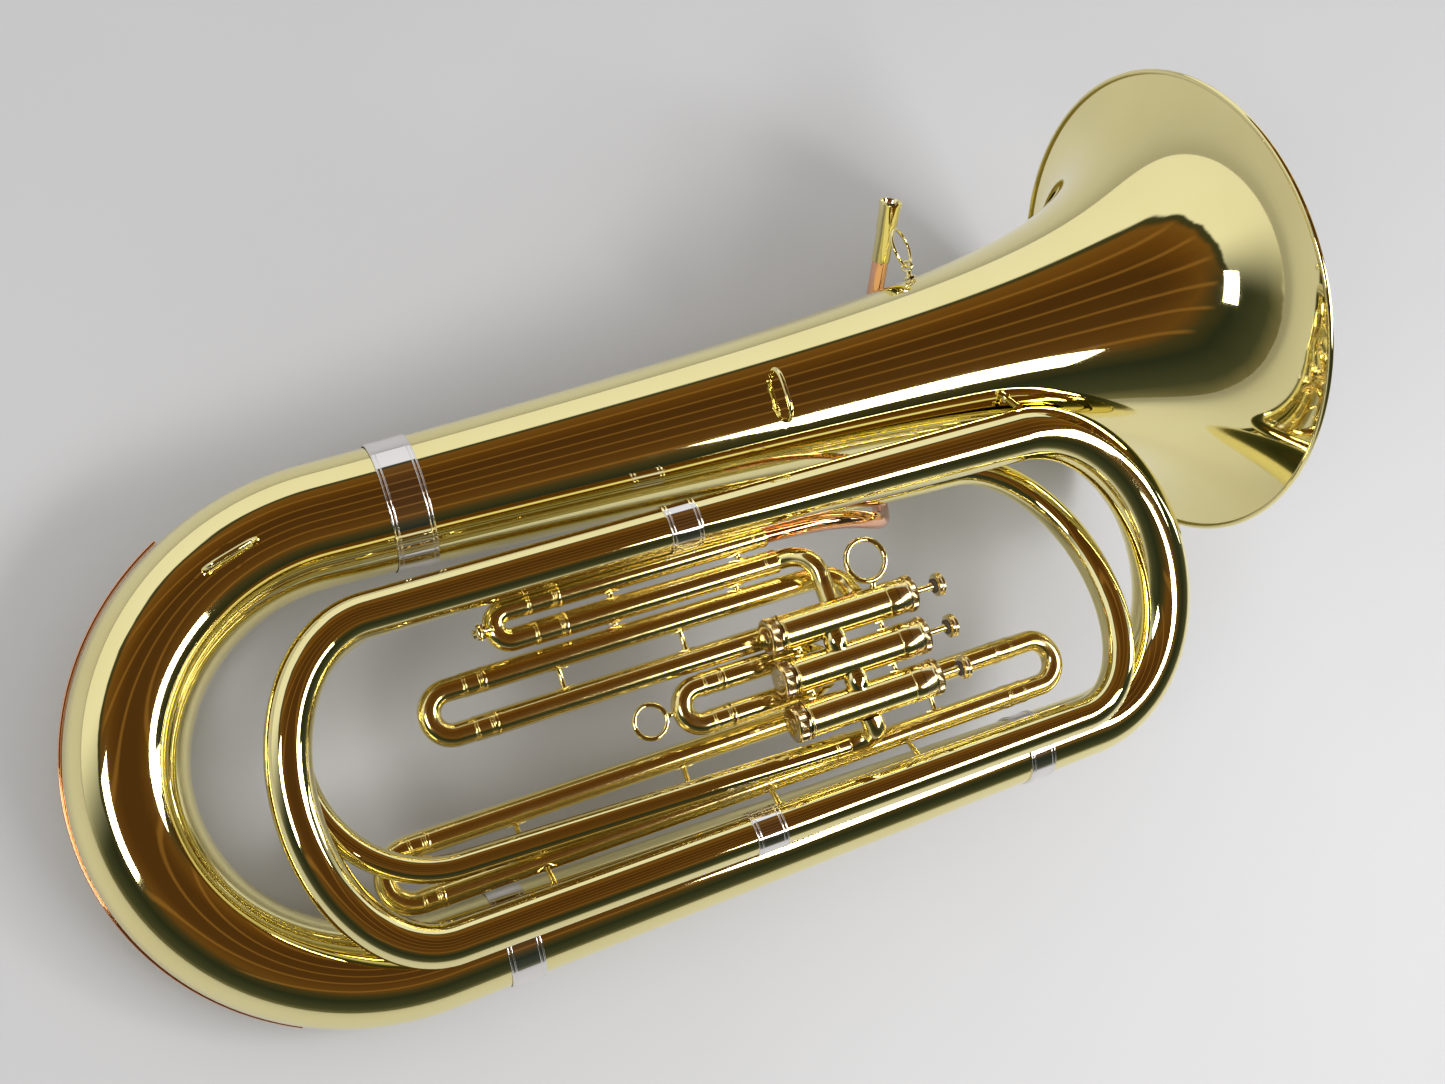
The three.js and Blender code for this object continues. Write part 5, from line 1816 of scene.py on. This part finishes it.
    def walls(
        self, tree: bpy.types.NodeTree, way: bpy.types.NodeSocket
    ) -> tuple[bpy.types.NodeSocket, bpy.types.NodeSocket]:
        """The walls' colour over height, near side and far side blended.

        Args:
            tree: the world's tree.
            way: the direction that is looked in.

        Returns:
            The colour, and the slightly uneven height that it is read from.
        """
        parts = node_of(tree, "ShaderNodeSeparateXYZ")
        height = node_of(tree, "ShaderNodeMapRange")
        height.inputs["From Min"].default_value = -1.0
        stretch = node_of(tree, "ShaderNodeMapping", vector_type="POINT")
        stretch.inputs["Scale"].default_value = (1.2, 6.0, 2.5)
        boards = node_of(tree, "ShaderNodeTexNoise", in_Scale=1.0, in_Detail=3.0)
        uneven = node_of(tree, "ShaderNodeMath", operation="MULTIPLY_ADD")
        uneven.inputs[1].default_value = 0.06
        near, far = self.ramp(tree, self.near_wall), self.ramp(tree, self.far_wall)
        sides = node_of(tree, "ShaderNodeMapRange", interpolation_type="SMOOTHSTEP")
        sides.inputs["From Min"].default_value = -0.22
        sides.inputs["From Max"].default_value = 0.3
        mix = node_of(tree, "ShaderNodeMix", data_type="RGBA")
        link = tree.links.new
        link(way, parts.inputs[0])
        link(way, stretch.inputs["Vector"])
        link(stretch.outputs["Vector"], boards.inputs["Vector"])
        link(parts.outputs["Z"], height.inputs["Value"])
        link(boards.outputs["Fac"], uneven.inputs[0])
        link(height.outputs["Result"], uneven.inputs[2])
        link(parts.outputs["Y"], sides.inputs["Value"])
        for ramp, name in ((near, "A"), (far, "B")):
            link(uneven.outputs[0], ramp.inputs["Fac"])
            link(ramp.outputs["Color"], mix.inputs[name])
        link(sides.outputs["Result"], mix.inputs["Factor"])
        return mix.outputs["Result"], uneven.outputs[0]

    def planks(
        self,
        tree: bpy.types.NodeTree,
        way: bpy.types.NodeSocket,
        walls: bpy.types.NodeSocket,
        height: bpy.types.NodeSocket,
    ) -> bpy.types.NodeSocket:
        """Thin light lines across the ceiling.

        Args:
            tree: the world's tree.
            way: the direction that is looked in.
            walls: the colour under the lines.
            height: the height that tells ceiling from wall.

        Returns:
            The colour with its lines.
        """
        lines = node_of(tree, "ShaderNodeTexWave", bands_direction="Y", in_Scale=1.3, in_Distortion=0.8)
        thin = node_of(tree, "ShaderNodeMapRange")
        for name, value in (("From Min", 0.9), ("From Max", 1.0), ("To Max", 0.5)):
            thin.inputs[name].default_value = value
        overhead = node_of(tree, "ShaderNodeMapRange")
        for name, value in (("From Min", 0.84), ("From Max", 0.88)):
            overhead.inputs[name].default_value = value
        share = node_of(tree, "ShaderNodeMath", operation="MULTIPLY")
        planks = node_of(tree, "ShaderNodeMix", data_type="RGBA")
        planks.inputs["B"].default_value = (0.34, 0.17, 0.045, 1.0)
        link = tree.links.new
        link(way, lines.inputs["Vector"])
        link(lines.outputs["Fac"], thin.inputs["Value"])
        link(height, overhead.inputs["Value"])
        link(thin.outputs["Result"], share.inputs[0])
        link(overhead.outputs["Result"], share.inputs[1])
        link(share.outputs[0], planks.inputs["Factor"])
        link(walls, planks.inputs["A"])
        return planks.outputs["Result"]

    def ramp(self, tree: bpy.types.NodeTree, stops: Sequence[Stop]) -> bpy.types.Node:
        """A colour ramp with the given stops.

        Args:
            tree: the tree that it goes in.
            stops: pairs of position and colour.

        Returns:
            The ramp node.
        """
        node = node_of(tree, "ShaderNodeValToRGB")
        elements = node.color_ramp.elements
        while len(elements) < len(stops):
            elements.new(0.5)
        for element, (position, color) in zip(elements, stops):
            element.position = position
            element.color = (*color, 1.0)
        return node


# ---------------------------------------------------------------- everything


def main() -> None:
    """Builds the instrument and the studio round it."""
    logging.basicConfig(level=logging.INFO, format="%(name)s: %(message)s")
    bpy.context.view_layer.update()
    Studio().build()
    Bell().build()
    branches = Branches()
    branches.build()
    for ferrule in ferrules(branches):
        ferrule.build()
    Leadpipe().build()
    for slide in (MAIN, FIRST, SECOND, THIRD_LEFT, THIRD_RIGHT):
        slide.build_bow()
    Tubing().build(branches)
    for number, row in enumerate(VALVES.rows, start=1):
        Valve(number, row).build()
    build_knuckles()
    dress_springs()
    Rings().build(branches)
    WaterKey().build()


if __name__ == "__main__":
    main()
